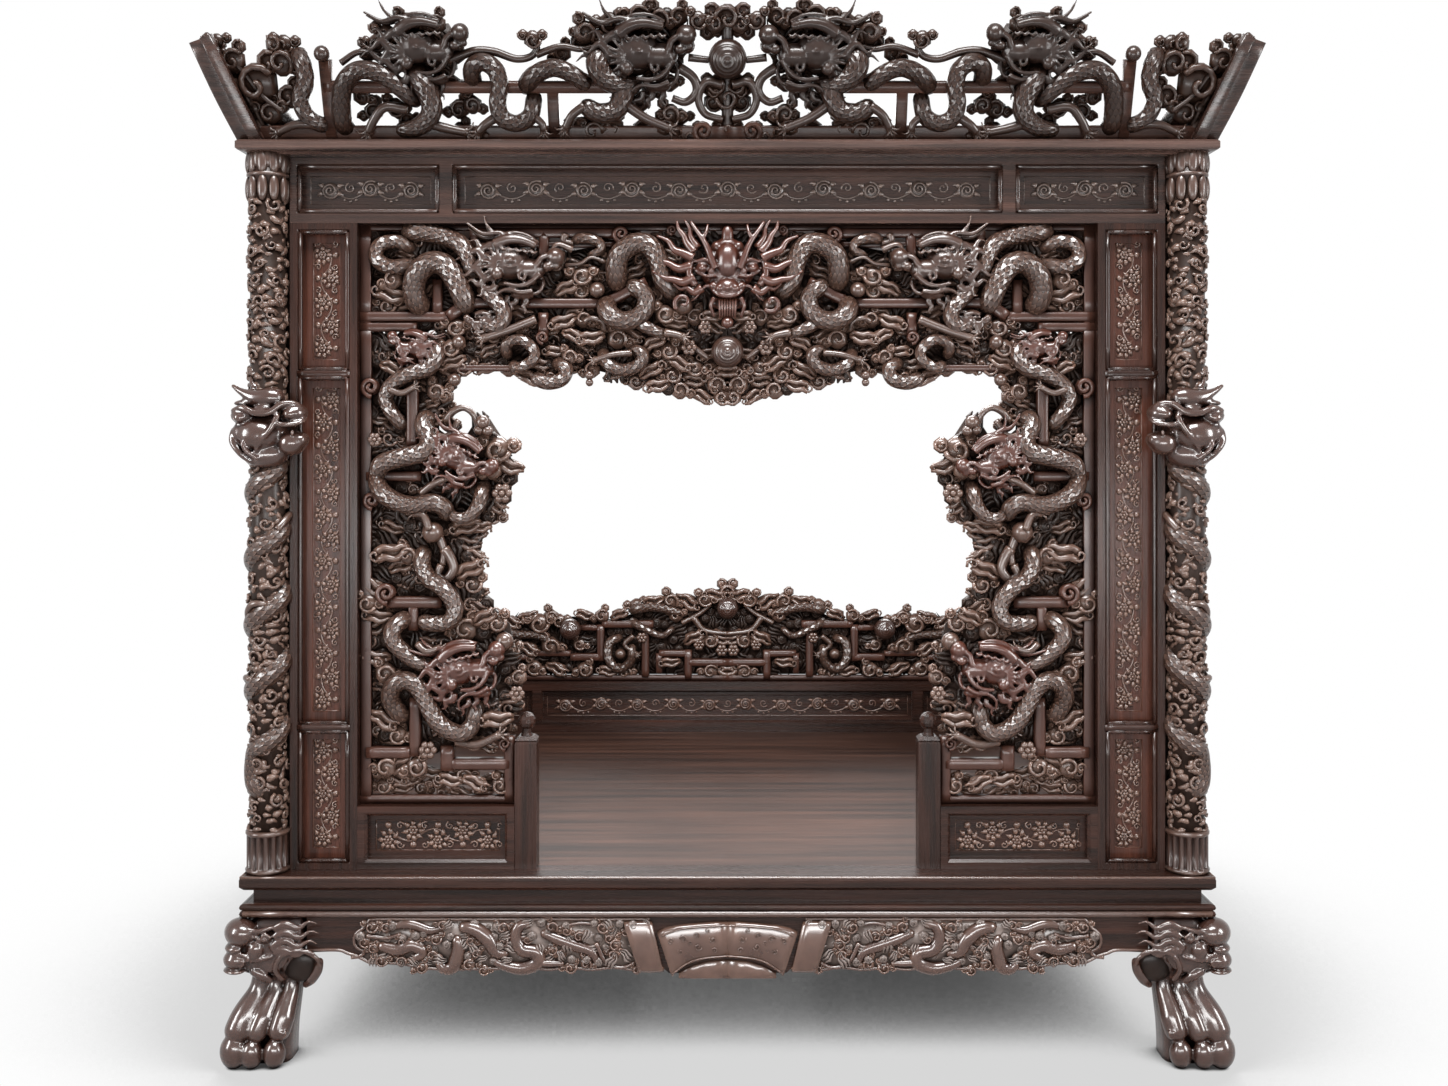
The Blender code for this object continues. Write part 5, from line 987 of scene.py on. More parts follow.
store = newStore()
carveMane(store, panel, share(panel, [(0, mask["forehead"])], 0.022)[0])
finishPiece("lintelMane", store, redWood)
store = newStore()
pearl(store, panel, share(panel, [(0, mask["pearl"])], 0.018)[0], 0.037)
finishPiece("lintelPearl", store, carvedWood)
print("lintel carved")


# Crown: a leaning frieze of dragons that meet at a pearl
crown = {
    "half": 1.0897, "lean": 0.394, "setback": 0.010, "thick": 0.052, "streaks": False,
    "boards": [((0.4, 7), (100, 7), 18, 11), ((17.6, 4), (17.6, 62), 13, 14), ((64, 4), (64, 44), 13, 14)],
    "bars": [((17, 42), (77, 42), 14)],
    "scrolls": [(95, 9.6, 22)],
    "bodies": [
        (20, 0.9, [(12, 68), (13.4, 58, 6), (13.6, 46, 10), (12.2, 33, 10), (13.4, 20, 8), (17, 11)]),
        (22, 0.9, [(20.6, 8), (20.4, 24, 10), (21.4, 44, 14), (24.6, 55, 14), (29, 53, 14), (33, 42, 10),
                   (36, 30)]),
        (29, 0.6, [(35.5, 56, 4), (38.6, 40, 12), (39, 24, 14), (36, 13, 10), (31, 9)]),
        (21, 0.9, [(47.6, 44), (48, 57, 6), (50.4, 61, 10), (52.8, 55, 14), (53.4, 43, 16), (52.8, 31, 16),
                   (53.6, 20, 14),
                   (56.5, 15.6, 12), (59.4, 22, 8), (60, 36, -6)]),
        (22, 0.85, [(58, 40), (60.4, 51, 8), (64.5, 57, 12), (68.4, 52, 12), (71.4, 42, 6)]),
        (26, 0.8, [(79, 50), (78.6, 38, 10), (77, 26, 14), (73.6, 23.6, 14), (70, 29, 12)]),
        (30, 0.7, [(74.6, 70), (73.6, 60, 10), (75, 50, 12), (78.4, 44, 10), (82, 44, 6)]),
    ],
    "arms": [(12, [(34, 26, 6), (29.6, 28, 12), (27, 18, 14), (25.6, 9, 12)]),
             (12, [(38, 16, 8), (42, 12, 12), (46, 9, 12)]),
             (12, [(53, 22, 10), (50, 15, 14), (48.4, 9, 12)]),
             (11, [(70.6, 29, 12), (68, 22, 14), (66.4, 12, 12)]),
             (12, [(79, 30, 10), (83, 20, 14), (88, 12, 12)]),
             (10, [(59, 24, 8), (61.6, 16, 12), (62, 10, 12)]),
             (11, [(16, 14, 6), (11, 15, 12), (7, 9, 12)])],
    "bands": [(11, [(43, 62), (46, 66), (49, 69), (52.6, 68), (56.8, 63), (60, 65), (61.2, 72), (59.8, 78)]),
              (12, [(90, 57), (93, 49), (93.6, 38.6), (91.4, 31), (88.6, 34)]),
              (11, [(99, 44), (95.6, 46), (94, 34), (95.4, 22), (99, 18)]),
              (9, [(92, 64), (97, 62), (101, 62)]),
              (9, [(61, 66), (66, 72), (70, 70), (73, 72)]), (8, [(21, 60), (25, 68), (30, 64)]),
              (7, [(-3, 70), (1, 52), (4, 36), (8, 24)])],
    "heads": [(38.4, 70, 0.084, 1, 0.05), (83.4, 67, 0.092, 1, 0.05)],
    "balls": [(43.8, 74, 16), (91.8, 73, 18), (17.4, 67, 18)],
    "flowers": [(48.6, 6, 20)],
    "grounds": [[(30, 54), (32, 74), (36, 86), (43, 88), (46, 70), (44, 56)],
                [(72, 62), (74, 84), (80, 94), (90, 94), (93, 76), (90, 56), (80, 48)]],
    "front": [(60.4, 77, 15), (3, 44, 34), (8.4, 60, 24), (-1, 62, 20), (30.6, 80, 18), (35, 88, 18),
              (41, 88, 16), (71, 82, 19),
              (76, 88, 19), (82, 94, 19), (86, 92, 18), (90, 93, 16), (94, 91, 15), (72, 9, 18),
              (76.4, 12, 16), (87, 12, 17),
              (92.4, 5, 16), (5, 22, 20), (88, 22, 17)],
    "rear": [(-4.4, 74, 15), (-2.4, 48, 16), (1, 28, 18), (9, 34, 20), (9, 72, 17), (6, 12, 17), (12, 8, 15),
             (26, 66, 15),
             (28, 73, 16), (33, 70, 16), (24, 34, 15), (26, 22, 16), (31, 26, 16), (33, 16, 15),
             (44, 24, 17), (47, 28, 16),
             (44, 8, 15), (41, 52, 16), (43, 44, 15), (66, 66, 15), (69.6, 74, 15), (69, 12, 15),
             (82, 30, 17), (84, 38, 16),
             (86, 52, 17), (88, 44, 15), (90, 18, 15), (82, 10, 15), (97, 30, 16), (98, 8, 16), (57, 8, 13),
             (78, 78, 16),
             (88, 82, 15), (96, 82, 14)],
}


def crownPanel(side):
    # Half of the front crown, from its corner to the middle
    face = frontEdge + crown["setback"] + crown["thick"] / 2
    return flatPanel(side * crown["half"], 0.0, corniceTop, crownTop, face, crown["lean"])


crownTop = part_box("crown_front")[1][2]
crownHeads = newStore()
for half, side in (("Left", -1), ("Right", 1)):
    panel = crownPanel(side)
    carvePanel(panel, crown, f"crown{half}", ["crown_front"] if side < 0 else [], crownWood, plankCrown,
               crownWood)
    store = newStore()
    # The slanted board at the corner
    edge = share(panel, [(0.4, 0), (-3.9, 38), (-7.6, 77)], 0.0)
    rod(store, panel, edge, 0.021, 0.95, 20, 0.03, 0.8, 0.25)
    finishPiece(f"crown{half}CornerBoard", store, plankTop)
    for u, v, size, facing, tilt in crown["heads"]:
        dragonHead(crownHeads, panel, share(panel, [(u, v)], 0.010)[0], size, facing, tilt, 0.7)
finishPiece("crownHeads", crownHeads, crownWood, voxel=0.0022)
# The pearl in the middle, on a stem among clouds
store = newStore()
panel = crownPanel(1)
middle = 100
pearl(store, panel, share(panel, [(middle, 63)], 0.004)[0], 0.044)
for u, v, size in ((middle, 92, 30), (middle - 2.6, 88, 20), (middle + 2.6, 88, 20)):
    cloud(store, panel, share(panel, [(u, v)], 0.006)[0], size / 1000)
for u, v, size in ((middle - 2, 44, 22), (middle + 2, 44, 22), (middle, 34, 26), (middle, 10, 20)):
    cloud(store, panel, share(panel, [(u, v)], 0.0)[0], size / 1000, -1)
rod(store, panel, share(panel, [(middle, 0), (middle, 40), (middle, 96)], -0.01), 0.014, 1.0, 10)
finishPiece("crownMiddle", store, crownWood)

# The crown's returns along the sides: two dragons that meet over a rail, lower than the front
sideCrown = {
    "reach": (0.8397, 0.80), "height": 0.213, "streaks": False,
    "boards": [((0.6, 6), (99.8, 6), 13, 11), ((12, 4), (12, 62), 12, 12), ((34, 4), (34, 62), 12, 12),
               ((66, 4), (66, 62), 12, 12),
               ((99, 4), (99, 62), 12, 12)],
    "bars": [((8, 46), (99, 46), 12)],
    "bodies": [(22, 0.8, [(13, 6), (15, 40), (20, 68), (26, 60), (28, 30), (34, 14), (40, 30), (42, 56)]),
               (22, 0.8, [(98, 10), (92, 24), (90, 50), (84, 70), (78, 58), (76, 28), (70, 14), (65, 30),
                          (64, 50), (60, 62)])],
    "arms": [(10, [(27, 34, 6), (24, 26, 12), (21, 16, 8)]), (10, [(77, 34, 6), (80, 26, 12), (83, 16, 8)])],
    "heads": [(46, 72, 0.056, 1, 0.0), (57, 72, 0.052, -1, 0.0)],
    "grounds": [[(1, 4), (-1.6, 50), (4, 66), (9, 60), (11, 30), (11, 4)]],
    "front": [(3, 50, 22), (6, 66, 20), (2.5, 24, 20), (51.5, 44, 20), (51.5, 22, 18), (48, 10, 16),
              (95, 66, 18), (20, 8, 15),
              (28, 10, 15), (46, 28, 15), (60, 10, 15), (72, 8, 15), (84, 10, 15), (8, 30, 15), (8, 10, 15)],
}
sideFace = middleY - edgeX + crown["setback"] + crown["thick"] / 2
ahead, behind = sideCrown["reach"]
for hand, side in (("left", -1), ("right", 1)):
    sideTop = corniceTop + sideCrown["height"]
    flat = flatPanel(-side * ahead, side * behind, corniceTop, sideTop, sideFace, crown["lean"])
    panel = turnedPanel(flat, side * math.pi / 2, middleY)
    carvePanel(panel, sideCrown, f"crownSide{hand.title()}", [f"crown_{hand}"], crownWood, plankCrown,
               crownWood)
    carveHeads(panel, sideCrown, f"crownSide{hand.title()}Heads", crownWood)
    store = newStore()
    rod(store, panel, share(panel, [(0.4, 0), (-2.5, 50), (-5.1, 100)]), 0.017, 0.95, 20, 0.03, 0.8, 0.25)
    finishPiece(f"crownSide{hand.title()}CornerBoard", store, plankTop)
print("crown carved")


# Front columns: fluted base, lotus capital, a scaled dragon winding up through clouds to a polished head
column = {"x": 1.05, "inset": 0.050, "radius": 0.041, "bottom": 0.4253, "top": 2.0557, "pitch": 0.150,
          "wind": (0.70, 1.36), "girth": 0.023, "wispStep": 0.0165}


def lathe(store, x, y, profile, around=40, flutes=0, depth=0.0):
    # A turned form; each ring gives its radius, its height and whether the flutes cut it
    turn = -2 * np.pi * np.arange(around) / around
    rings = []
    for radius, z, cut in profile:
        r = radius + cut * depth * (np.abs(np.sin(turn * flutes / 2)) - 1)
        rings.append(np.stack([x + r * np.cos(turn), y + r * np.sin(turn), np.full(around, z)], axis=1))
    addRings(store, np.array(rings))


def carveColumn(side, y, name):
    x = side * column["x"]
    bottom, top, radius = column["bottom"], column["top"], column["radius"]
    store = newStore()
    ring = [(0.044, 0, 0), (0.049, 0.003, 0), (0.050, 0.008, 0), (0.047, 0.012, 0), (0.047, 0.014, 1),
            (0.047, 0.084, 1),
            (0.047, 0.086, 0), (0.049, 0.089, 0), (0.049, 0.094, 0), (0.044, 0.097, 0)]
    lathe(store, x, y, [(r, bottom + z, cut) for r, z, cut in ring], 112, 16, 0.008)
    lathe(store, x, y, [(0.038, top - 0.098, 0), (0.042, top - 0.05, 0), (0.047, top - 0.047, 0),
                        (0.047, top - 0.042, 0),
                        (0.042, top - 0.039, 0), (0.044, top, 0)])
    panel = roundPanel(x, y, radius, bottom, top, -math.pi / 2, side * -1)
    around = panel["width"]
    for i in range(10):
        a = around * i / 10
        ball(store, panel, (a, top - bottom - 0.076, 0.0), 0.0118, 0.030, 0.009, 9, 12)
        ball(store, panel, (a, top - bottom - 0.018, 0.001), 0.0122, 0.026, 0.008, 9, 12)
        ball(store, panel, (a + around / 20, top - bottom - 0.010, -0.002), 0.0118, 0.022, 0.009, 9, 12)
    finishPiece(f"{pieceName(name)}Turning", store, columnWood, [name])
    store = newStore()
    lathe(store, x, y, [(0.039, bottom + 0.09, 0), (0.039, top - 0.09, 0)])
    # A fillet closes the joint between the column and the frame beside it
    fillet = flatPanel(side * (frameOuter + 0.008), 0.0, bottom, top, frameMiddle)
    rod(store, fillet, [(0, 0.002, 0), (0, 0.8, 0), (0, top - bottom - 0.002, 0)], 0.012, 1.0, 8, 0.2, 1.0,
        0.4)
    # Core and fillet take the darker copy of the carved wood, painted shade where they lie deep
    finishPiece(f"{pieceName(name)}Core", store, shadedCarving)
    # Wisps of cloud wrap the shaft, with a roll here and there
    store = newStore()
    chance = np.random.default_rng(3)
    low, high = 0.102, top - bottom - 0.104
    for j, b in enumerate(np.arange(low, high, column["wispStep"])):
        for a in np.arange(0, around, around / 7) + (j % 2) * around / 14:
            drift = chance.uniform(-0.012, 0.012, 2)
            long, bend = chance.uniform(0.012, 0.026), chance.uniform(-0.010, 0.010)
            wisp = [(a + drift[0] - long, b + drift[1] * 0.5 - bend, -0.006),
                    (a + drift[0], b + bend, chance.uniform(-0.005, 0.002)),
                    (a + drift[0] + long, b - drift[1] * 0.5 - bend * 0.6, -0.007)]
            lock(store, panel, wisp, chance.uniform(0.006, 0.0105), 0.010)
    for j, b in enumerate(np.arange(low + 0.02, high - 0.01, 0.042)):
        for a in np.arange(0, around, around / 5) + (j % 2) * around / 10:
            spot = (a + chance.uniform(-0.012, 0.012), b + chance.uniform(-0.012, 0.012), 0.0)
            curl(store, panel, spot, chance.uniform(0.011, 0.018), 1 if j % 2 else -1, chance.uniform(0, 6),
                 1.1, 0.27, 12, 5)
    finishPiece(f"{pieceName(name)}Clouds", store, columnWood)
    store = newStore()
    start, end = column["wind"]
    steps = np.linspace(0, 1, 40)
    winding = [(around * (t * (end - start) / column["pitch"] - 0.12), start - bottom + t * (end - start),
                -0.013)
               for t in steps]
    tail = [(winding[0][0] + 0.02, winding[0][1] - 0.10, -0.010),
            (winding[0][0] - 0.005, winding[0][1] - 0.05, -0.010)]
    scaledBody(store, panel, [*tail, *winding], column["girth"], 1.0, 0.12)
    for j in (0.16, 0.42, 0.72):
        a = around * (j * (end - start) / column["pitch"] - 0.12) + 0.05
        b = start - bottom + j * (end - start) + 0.06
        rod(store, panel, [(a - 0.03, b - 0.03, 0), (a, b, 0.006), (a + 0.03, b + 0.002, 0.004)], 0.010, 0.7,
            9)
        claw(store, panel, (a + 0.034, b + 0.002, 0.004), 0.017, 0.0)
    finishPiece(f"{pieceName(name)}Dragon", store, scaledWood)
    carveColumnHead(side, y - 0.030, name)


def carveColumnHead(side, face, name):
    # A smooth head that looks toward the doorway; millimetres from its lower outer corner
    panel = flatPanel(side * 1.121, side * 0.935, 1.341, 1.550, face)
    store = newStore()

    def at(a, b, out):
        return (a / 1000, b / 1000, out / 1000)

    def egg(a, b, out, ra, rb, rd):
        ball(store, panel, at(a, b, out), ra / 1000, rb / 1000, rd / 1000, 13, 18)

    def form(points, radii):
        limb(store, panel, [at(*p) for p in points], [r / 1000 for r in radii], 16)

    form([(0, 193, 8), (28, 175, 16), (61, 163, 20), (94, 164, 18), (122, 160, 10)], [4, 9, 17, 23, 22])
    form([(6, 150, 10), (26, 151, 18), (52, 153, 20), (80, 156, 14)], [4, 8, 12, 14])
    form([(58, 178, 6), (46, 196, 2), (40, 214, -4)], [13, 8, 3])
    egg(70, 84, -6, 62, 50, 44)
    egg(30, 122, 20, 27, 19, 22)
    egg(27, 118, 36, 13, 11, 9)
    egg(78, 138, 24, 24, 10, 18)
    egg(144, 128, 12, 31, 24, 32)
    egg(140, 126, 38, 14, 11, 9)
    form([(4, 132, 22), (34, 140, 38), (66, 128, 42), (98, 130, 42), (124, 148, 38), (152, 148, 30),
          (174, 128, 14)],
         [5, 7, 8, 8, 8, 7, 5])
    egg(64, 80, 18, 50, 36, 32)
    egg(24, 84, 10, 20, 26, 26)
    form([(118, 128, 42), (102, 94, 46), (76, 64, 42), (58, 34, 30)], [7, 7, 6, 4])
    form([(110, 104, 40), (134, 102, 42), (160, 106, 34), (174, 116, 18)], [6, 6, 6, 4])
    egg(136, 62, 4, 32, 30, 34)
    egg(160, 68, 2, 14, 17, 24)
    form([(146, 92, 34), (146, 76, 36)], [6, 3])
    egg(74, 36, -6, 52, 36, 40)
    form([(10, 96, 16), (8, 66, 22), (28, 38, 26), (54, 14, 22)], [7, 9, 9, 5])
    form([(34, 66, 40), (44, 44, 38), (70, 22, 32)], [6, 6, 4])
    finishPiece(f"{pieceName(name)}Head", store, polishedCarving, voxel=0.003, easing=4)


for hand, side in (("left", -1), ("right", 1)):
    carveColumn(side, frontEdge + column["inset"], f"column_front_{hand}")
print("columns carved")


# Legs: lion-mask knees over an ankle, and paws with a toe on the corner and two on each face.
# They end below the waist and the two rolls.
leg = {"below": 0.0605,
       "reach": [(0, 0.2), (0.12, 0.35), (0.25, 0.1), (0.35, -0.3), (0.44, -0.6), (0.5, -0.5), (0.57, 0.0),
                 (0.64, 0.3), (0.75, 0.6),
                 (0.85, 0.45), (0.93, 0.30), (1.0, 0.0)],
       "hollow": [(0, 0.036), (0.2, 0.034), (0.45, 0.028), (0.58, 0.030), (0.68, 0.022), (0.76, 0.006),
                  (0.82, 0.0), (1, 0.0)]}


legTop = railLow[2] - leg["below"]


def carveLeg(name, left, front):
    low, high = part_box(name)
    inner = high[0] if left else low[0]
    outer = edgeX * (-1 if left else 1)
    back = high[1] if front else low[1]
    face = frontEdge if front else backEdge
    sx, sy = (-1 if left else 1), (-1 if front else 1)
    reach = abs((low[0] if left else high[0]) - outer)
    store = newStore()
    shade = newStore()
    # The post itself: rounded square rings that lean out and in with the cabriole line
    turn = -2 * np.pi * np.arange(32) / 32
    c, s = np.cos(turn), np.sin(turn)
    c, s = np.sign(c) * np.abs(c) ** 0.5, np.sign(s) * np.abs(s) ** 0.5
    shares, offsets = np.array(leg["reach"]).T
    hollowShares, hollows = np.array(leg["hollow"]).T
    rings = []
    for h in np.linspace(0.0, 1.0, 34):
        out = (np.interp(h, shares, offsets) - 0.45) * reach
        cut = np.interp(h, hollowShares, hollows) + 0.004
        x0, x1 = outer + sx * out, inner + sx * cut
        y0, y1 = face + sy * out, back + sy * cut
        rings.append(np.stack([(x0 + x1) / 2 + abs(x1 - x0) / 2 * c, (y0 + y1) / 2 + abs(y1 - y0) / 2 * s,
                               np.full(32, h * legTop)], axis=1))
    addRings(store, np.array(rings))
    corner = {"origin": np.array([outer, face, 0.0]), "across": unit(np.array([-sx, sy, 0.0])),
              "up": np.array([0, 0, 1.0]),
              "out": unit(np.array([sx, sy, 0.0])), "width": 1.0, "height": 1.0}
    faces = [dict(corner, across=np.array([-sx, 0.0, 0.0]), out=np.array([0.0, sy, 0.0])),
             dict(corner, across=np.array([0.0, -sy, 0.0]), out=np.array([sx, 0.0, 0.0]))]
    # Corner toe: one long muscle down to the floor
    limb(store, corner, [(0, 0.205, -0.056), (0, 0.160, -0.050), (0, 0.110, -0.016), (0, 0.052, 0.012)],
         [0.020, 0.025, 0.032, 0.034], 18)
    ball(store, corner, (0, 0.037, 0.012), 0.034, 0.039, 0.030, 13, 18)
    # Knee mask: brow, nose and beak on the corner
    ball(store, corner, (0, 0.300, -0.004), 0.042, 0.032, 0.034, 13, 18)
    ball(store, corner, (0, 0.242, 0.008), 0.030, 0.022, 0.026, 13, 18)
    ball(store, corner, (0, 0.219, 0.010), 0.030, 0.007, 0.024, 9, 16)
    ball(store, corner, (0, 0.268, 0.012), 0.026, 0.012, 0.018, 9, 16)
    for panel in faces:
        # Two more toes on this face, each a long drop over a round ball
        limb(store, panel, [(0.076, 0.205, -0.046), (0.070, 0.160, -0.040), (0.052, 0.108, -0.008),
                            (0.036, 0.058, 0.014)],
             [0.014, 0.019, 0.026, 0.025], 16)
        ball(store, panel, (0.033, 0.032, 0.014), 0.025, 0.033, 0.025, 13, 16)
        limb(store, panel, [(0.112, 0.205, -0.046), (0.107, 0.160, -0.038), (0.097, 0.108, -0.010),
                            (0.085, 0.058, 0.010)],
             [0.014, 0.019, 0.026, 0.025], 16)
        ball(store, panel, (0.083, 0.032, 0.010), 0.025, 0.033, 0.025, 13, 16)
        curl(store, panel, (0.100, 0.080, 0.020), 0.012, -1, 0.5, 1.2, 0.3)
        curl(store, panel, (0.012, 0.242, 0.022), 0.018, 1, 0.0, 1.3, 0.3)
        ball(store, panel, (0.042, 0.266, 0.010), 0.020, 0.022, 0.020, 11, 14)
        ball(store, panel, (0.064, 0.292, 0.008), 0.015, 0.014, 0.014, 11, 14)
        curl(store, panel, (0.064, 0.292, 0.019), 0.012, 1, 0.0, 1.0, 0.28)
        ball(store, panel, (0.082, 0.272, 0.006), 0.013, 0.013, 0.013, 11, 14)
        ball(store, panel, (0.070, 0.262, 0.002), 0.046, 0.052, 0.011, 11, 14)
        ball(store, panel, (0.030, 0.262, 0.004), 0.034, 0.046, 0.012, 11, 14)
        rod(store, panel, [(0.096, 0.192, -0.004), (0.085, 0.220, 0.010), (0.098, 0.250, 0.014),
                           (0.130, 0.263, 0.012),
                           (0.156, 0.258, 0.008), (0.176, 0.242, 0.002), (0.180, 0.222, -0.006)], 0.0062, 0.8)
        # Painted shade: a dark egg stands for the shaded bracket under the knee, by the apron's edge
        ball(shade, panel, (0.132, 0.220, -0.022), 0.042, 0.038, 0.018, 9, 14)
        limb(store, panel, [(0.180, 0.240, -0.010), (0.174, 0.212, -0.014), (0.158, 0.188, -0.022),
                            (0.136, 0.166, -0.036)],
             [0.008, 0.011, 0.012, 0.007])
        rod(store, panel, [(0.022, 0.314, 0.014), (0.046, 0.308, 0.018), (0.070, 0.314, 0.016),
                           (0.092, 0.318, 0.010)], 0.007, 0.6)
        rod(store, panel, [(0.026, 0.290, 0.016), (0.044, 0.296, 0.018), (0.052, 0.284, 0.018)], 0.006, 0.6)
        rod(store, panel, [(0.030, 0.244, 0.016), (0.052, 0.246, 0.018), (0.078, 0.250, 0.012)], 0.007, 0.6)
        limb(store, panel, [(0.026, 0.222, 0.002), (0.050, 0.206, 0.002), (0.074, 0.186, -0.010)],
             [0.012, 0.012, 0.008])
        for i in range(4):
            z = 0.316 - 0.0175 * i
            tip = (0.184 - 0.005 * abs(i - 1), z + 0.008 - 0.005 * i, 0.008)
            flame(store, panel, (0.082, z - 0.004, 0.013), tip, 0.0098, 0.08)
    finishPiece(f"{pieceName(name)}Carving", store, polishedCarving, [name], voxel=0.0026)
    finishPiece(f"{pieceName(name)}PaintedShade", shade, shadedCarving)


for front, depthName in ((True, "front"), (False, "back")):
    for left, sideName in ((True, "left"), (False, "right")):
        carveLeg(f"leg_{depthName}_{sideName}", left, front)
print("legs carved")


# Aprons: a cusped border round dragons and clouds in low relief, with a bare strap and a fan-shaped tablet
# in the middle. A slab's stations give percent across at foot and head, then percent up at foot and head.
apron = {
    "bottom": 0.1935, "top": 0.333, "setback": 0.010, "cloudSwell": 1.25,
    "bodies": [
        (14, [(28, 54), (32.3, 47), (35.2, 54), (37.6, 42), (35, 30)]),
        (16, [(44.6, 84), (48.2, 80), (50.8, 64), (52.6, 43), (55.4, 40)]),
        (15, [(44.2, 72), (44.8, 47), (43.7, 19), (41.6, 17), (40.6, 32)]),
        (15, [(60, 90), (57.2, 84), (56.6, 64), (57.9, 47), (60.8, 42), (61, 26), (57.9, 16), (53.9, 22),
              (51, 34)]),
        (13, [(61.5, 76), (65, 64), (68.5, 54), (72, 43), (73.6, 20)]),
        (11, [(31, 84), (35, 88), (39, 78), (42, 84)]),
    ],
    "bands": [(6, [(73, 58), (75.2, 26), (78.3, 18), (81, 26)]), (9, [(61.8, 26), (64, 25), (66.4, 25)]),
              (6, [(26, 70), (30, 66), (33, 72)]), (5, [(66, 84), (70, 90), (75, 84)])],
    "clouds": [(27, 84, 12), (30, 82, 10), (25.6, 60, 11), (27.4, 48, 10), (29, 30, 12), (33, 28, 11),
               (37.2, 18, 12),
               (39.4, 38, 11), (40.2, 64, 11), (41.6, 86, 10), (47.4, 62, 10), (47, 22, 12), (50, 14, 10),
               (54, 82, 12),
               (54, 60, 10), (64, 84, 12), (67, 78, 10), (69.6, 68, 11), (74.4, 84, 12), (77, 54, 12),
               (75.8, 66, 10),
               (76.6, 38, 11), (67.8, 18, 12), (71, 24, 11), (64, 46, 10), (81.4, 14, 9), (33.4, 60, 10),
               (66, 40, 9),
               (36, 68, 10), (48.6, 40, 10), (59, 64, 9), (70.6, 40, 9), (79, 76, 9)],
    "edge": [(13.8, 45), (20, 46), (22, 41), (24, 36), (26.6, 26), (28, 25.6), (33, 24), (38, 17),
             (42, 15.6), (48, 15.6), (52, 16),
             (57, 18), (60, 17), (63.6, 14.6), (67, 18), (70, 16), (72.4, 14.6), (76.6, 18), (80, 15),
             (83, 12.6), (87, 16)],
    "field": [(84, 95), (28, 95), (26.4, 91), (25.4, 82), (23.8, 72), (23.4, 60), (24, 50), (25.4, 44),
              (25, 36), (26.6, 27),
              (33, 25), (38, 18), (48, 16.6), (57, 19), (63.6, 15.6), (67, 19), (72.4, 15.6), (76.6, 19),
              (83, 13.6)],
    "border": [(84, 96), (60, 96), (40, 96), (28, 96), (26.4, 92), (25.4, 82), (23.8, 72), (23.4, 60),
               (24, 50), (25.4, 44),
               (24.6, 36), (22.8, 34)],
    "slabs": [(13, [(81.8, 78.7, 12, 92), (83, 80, 11, 93), (85.6, 83, 11, 93), (86.9, 84.5, 12, 92)]),
              (12, [(88.6, 85.6, 5, 76), (90, 87.2, 14, 82), (92, 90, 24, 87), (95, 94, 31, 90),
                    (98, 97.6, 34, 92),
                    (100, 100, 35, 92)]),
              (6, [(90, 90, 1, 10), (93, 93, 0, 22), (96, 96, 0, 28), (100, 100, 0, 30)])],
    "lines": [[(89, 12), (92, 28), (95, 35), (100, 39)], [(86.6, 72), (90.4, 82), (95, 86), (100, 88)]],
    "scrolls": [(88.4, 62, 8, 1), (91, 66, 9, -1), (90.4, 46, 7, 1), (93.6, 72, 8, 1), (94, 54, 9, -1),
                (97, 66, 9, 1), (97.4, 48, 7, -1), (96, 80, 6, 1), (92.4, 60, 6, -1)],
}


def slab(store, panel, stations, thick):
    # A plate from station to station, with eased edges at foot and head
    rings = []
    for footU, headU, footV, headV in stations:
        rows = [(0, -0.006), (0, thick * 0.6), (0.06, thick), (0.94, thick), (1, thick * 0.6), (1, -0.006)]
        spots = [((footU + (headU - footU) * t) / 100 * panel["width"],
                  (footV + (headV - footV) * t) / 100 * panel["height"], d) for t, d in rows]
        rings.append(onPanel(panel, spots)[0])
    rings = np.array(rings)
    along = rings[-1].mean(0) - rings[0].mean(0)
    if np.dot(np.cross(rings[0][1] - rings[0][0], rings[0][-1] - rings[0][0]), along) > 0:
        rings = rings[:, ::-1]
    addRings(store, rings)


def carveApron(panel, name):
    store = newStore()
    for girth, points in apron["bodies"]:
        widths = [0.5 + 0.7 * math.sin(math.pi * (0.12 + 0.82 * i / (len(points) - 1)))
                  for i in range(len(points))]
        limb(store, panel, share(panel, points, -0.002), [girth / 1000 * width for width in widths], 12,
             0.008)
    for girth, points in apron["bands"]:
        rod(store, panel, share(panel, points, 0.003), girth / 1000, 0.7)
    for i, (u, v, size) in enumerate(apron["clouds"]):
        radius = size / 1000 * apron["cloudSwell"]
        cloud(store, panel, share(panel, [(u, v)], 0.006)[0], radius, 1 if i % 2 else -1,
              0.8 * math.sin(2.4 * i))
    rod(store, panel, share(panel, apron["edge"], 0.001), 0.0042, 1.0, 8)
    rod(store, panel, share(panel, apron["border"], 0.001), 0.0046, 1.0, 8)
    finishPiece(f"{name}Relief", store, polishedCarving)
    store = newStore()
    # The field's pale grey colour is painted sheen
    plate(store, panel, apron["field"], 0.0012, 0.004)
    crowd(store, panel, apron["field"], 0.030, 0.0115, 0.002)
    finishPiece(f"{name}Field", store, apronFieldSheen)
    store = newStore()
    for thick, stations in apron["slabs"]:
        slab(store, panel, stations, thick / 1000)
    for points in apron["lines"]:
        rod(store, panel, share(panel, points, 0.012), 0.0022, 1.0, 7)
    for u, v, size, spin in apron["scrolls"]:
        curl(store, panel, share(panel, [(u, v)], 0.012)[0], size / 1000, spin, u, 1.2, 0.2, 14, 6)
    finishPiece(f"{name}Tablet", store, polishedCarving)


bedSides = {"Front": 0.0, "Right": math.pi / 2, "Back": math.pi, "Left": -math.pi / 2}


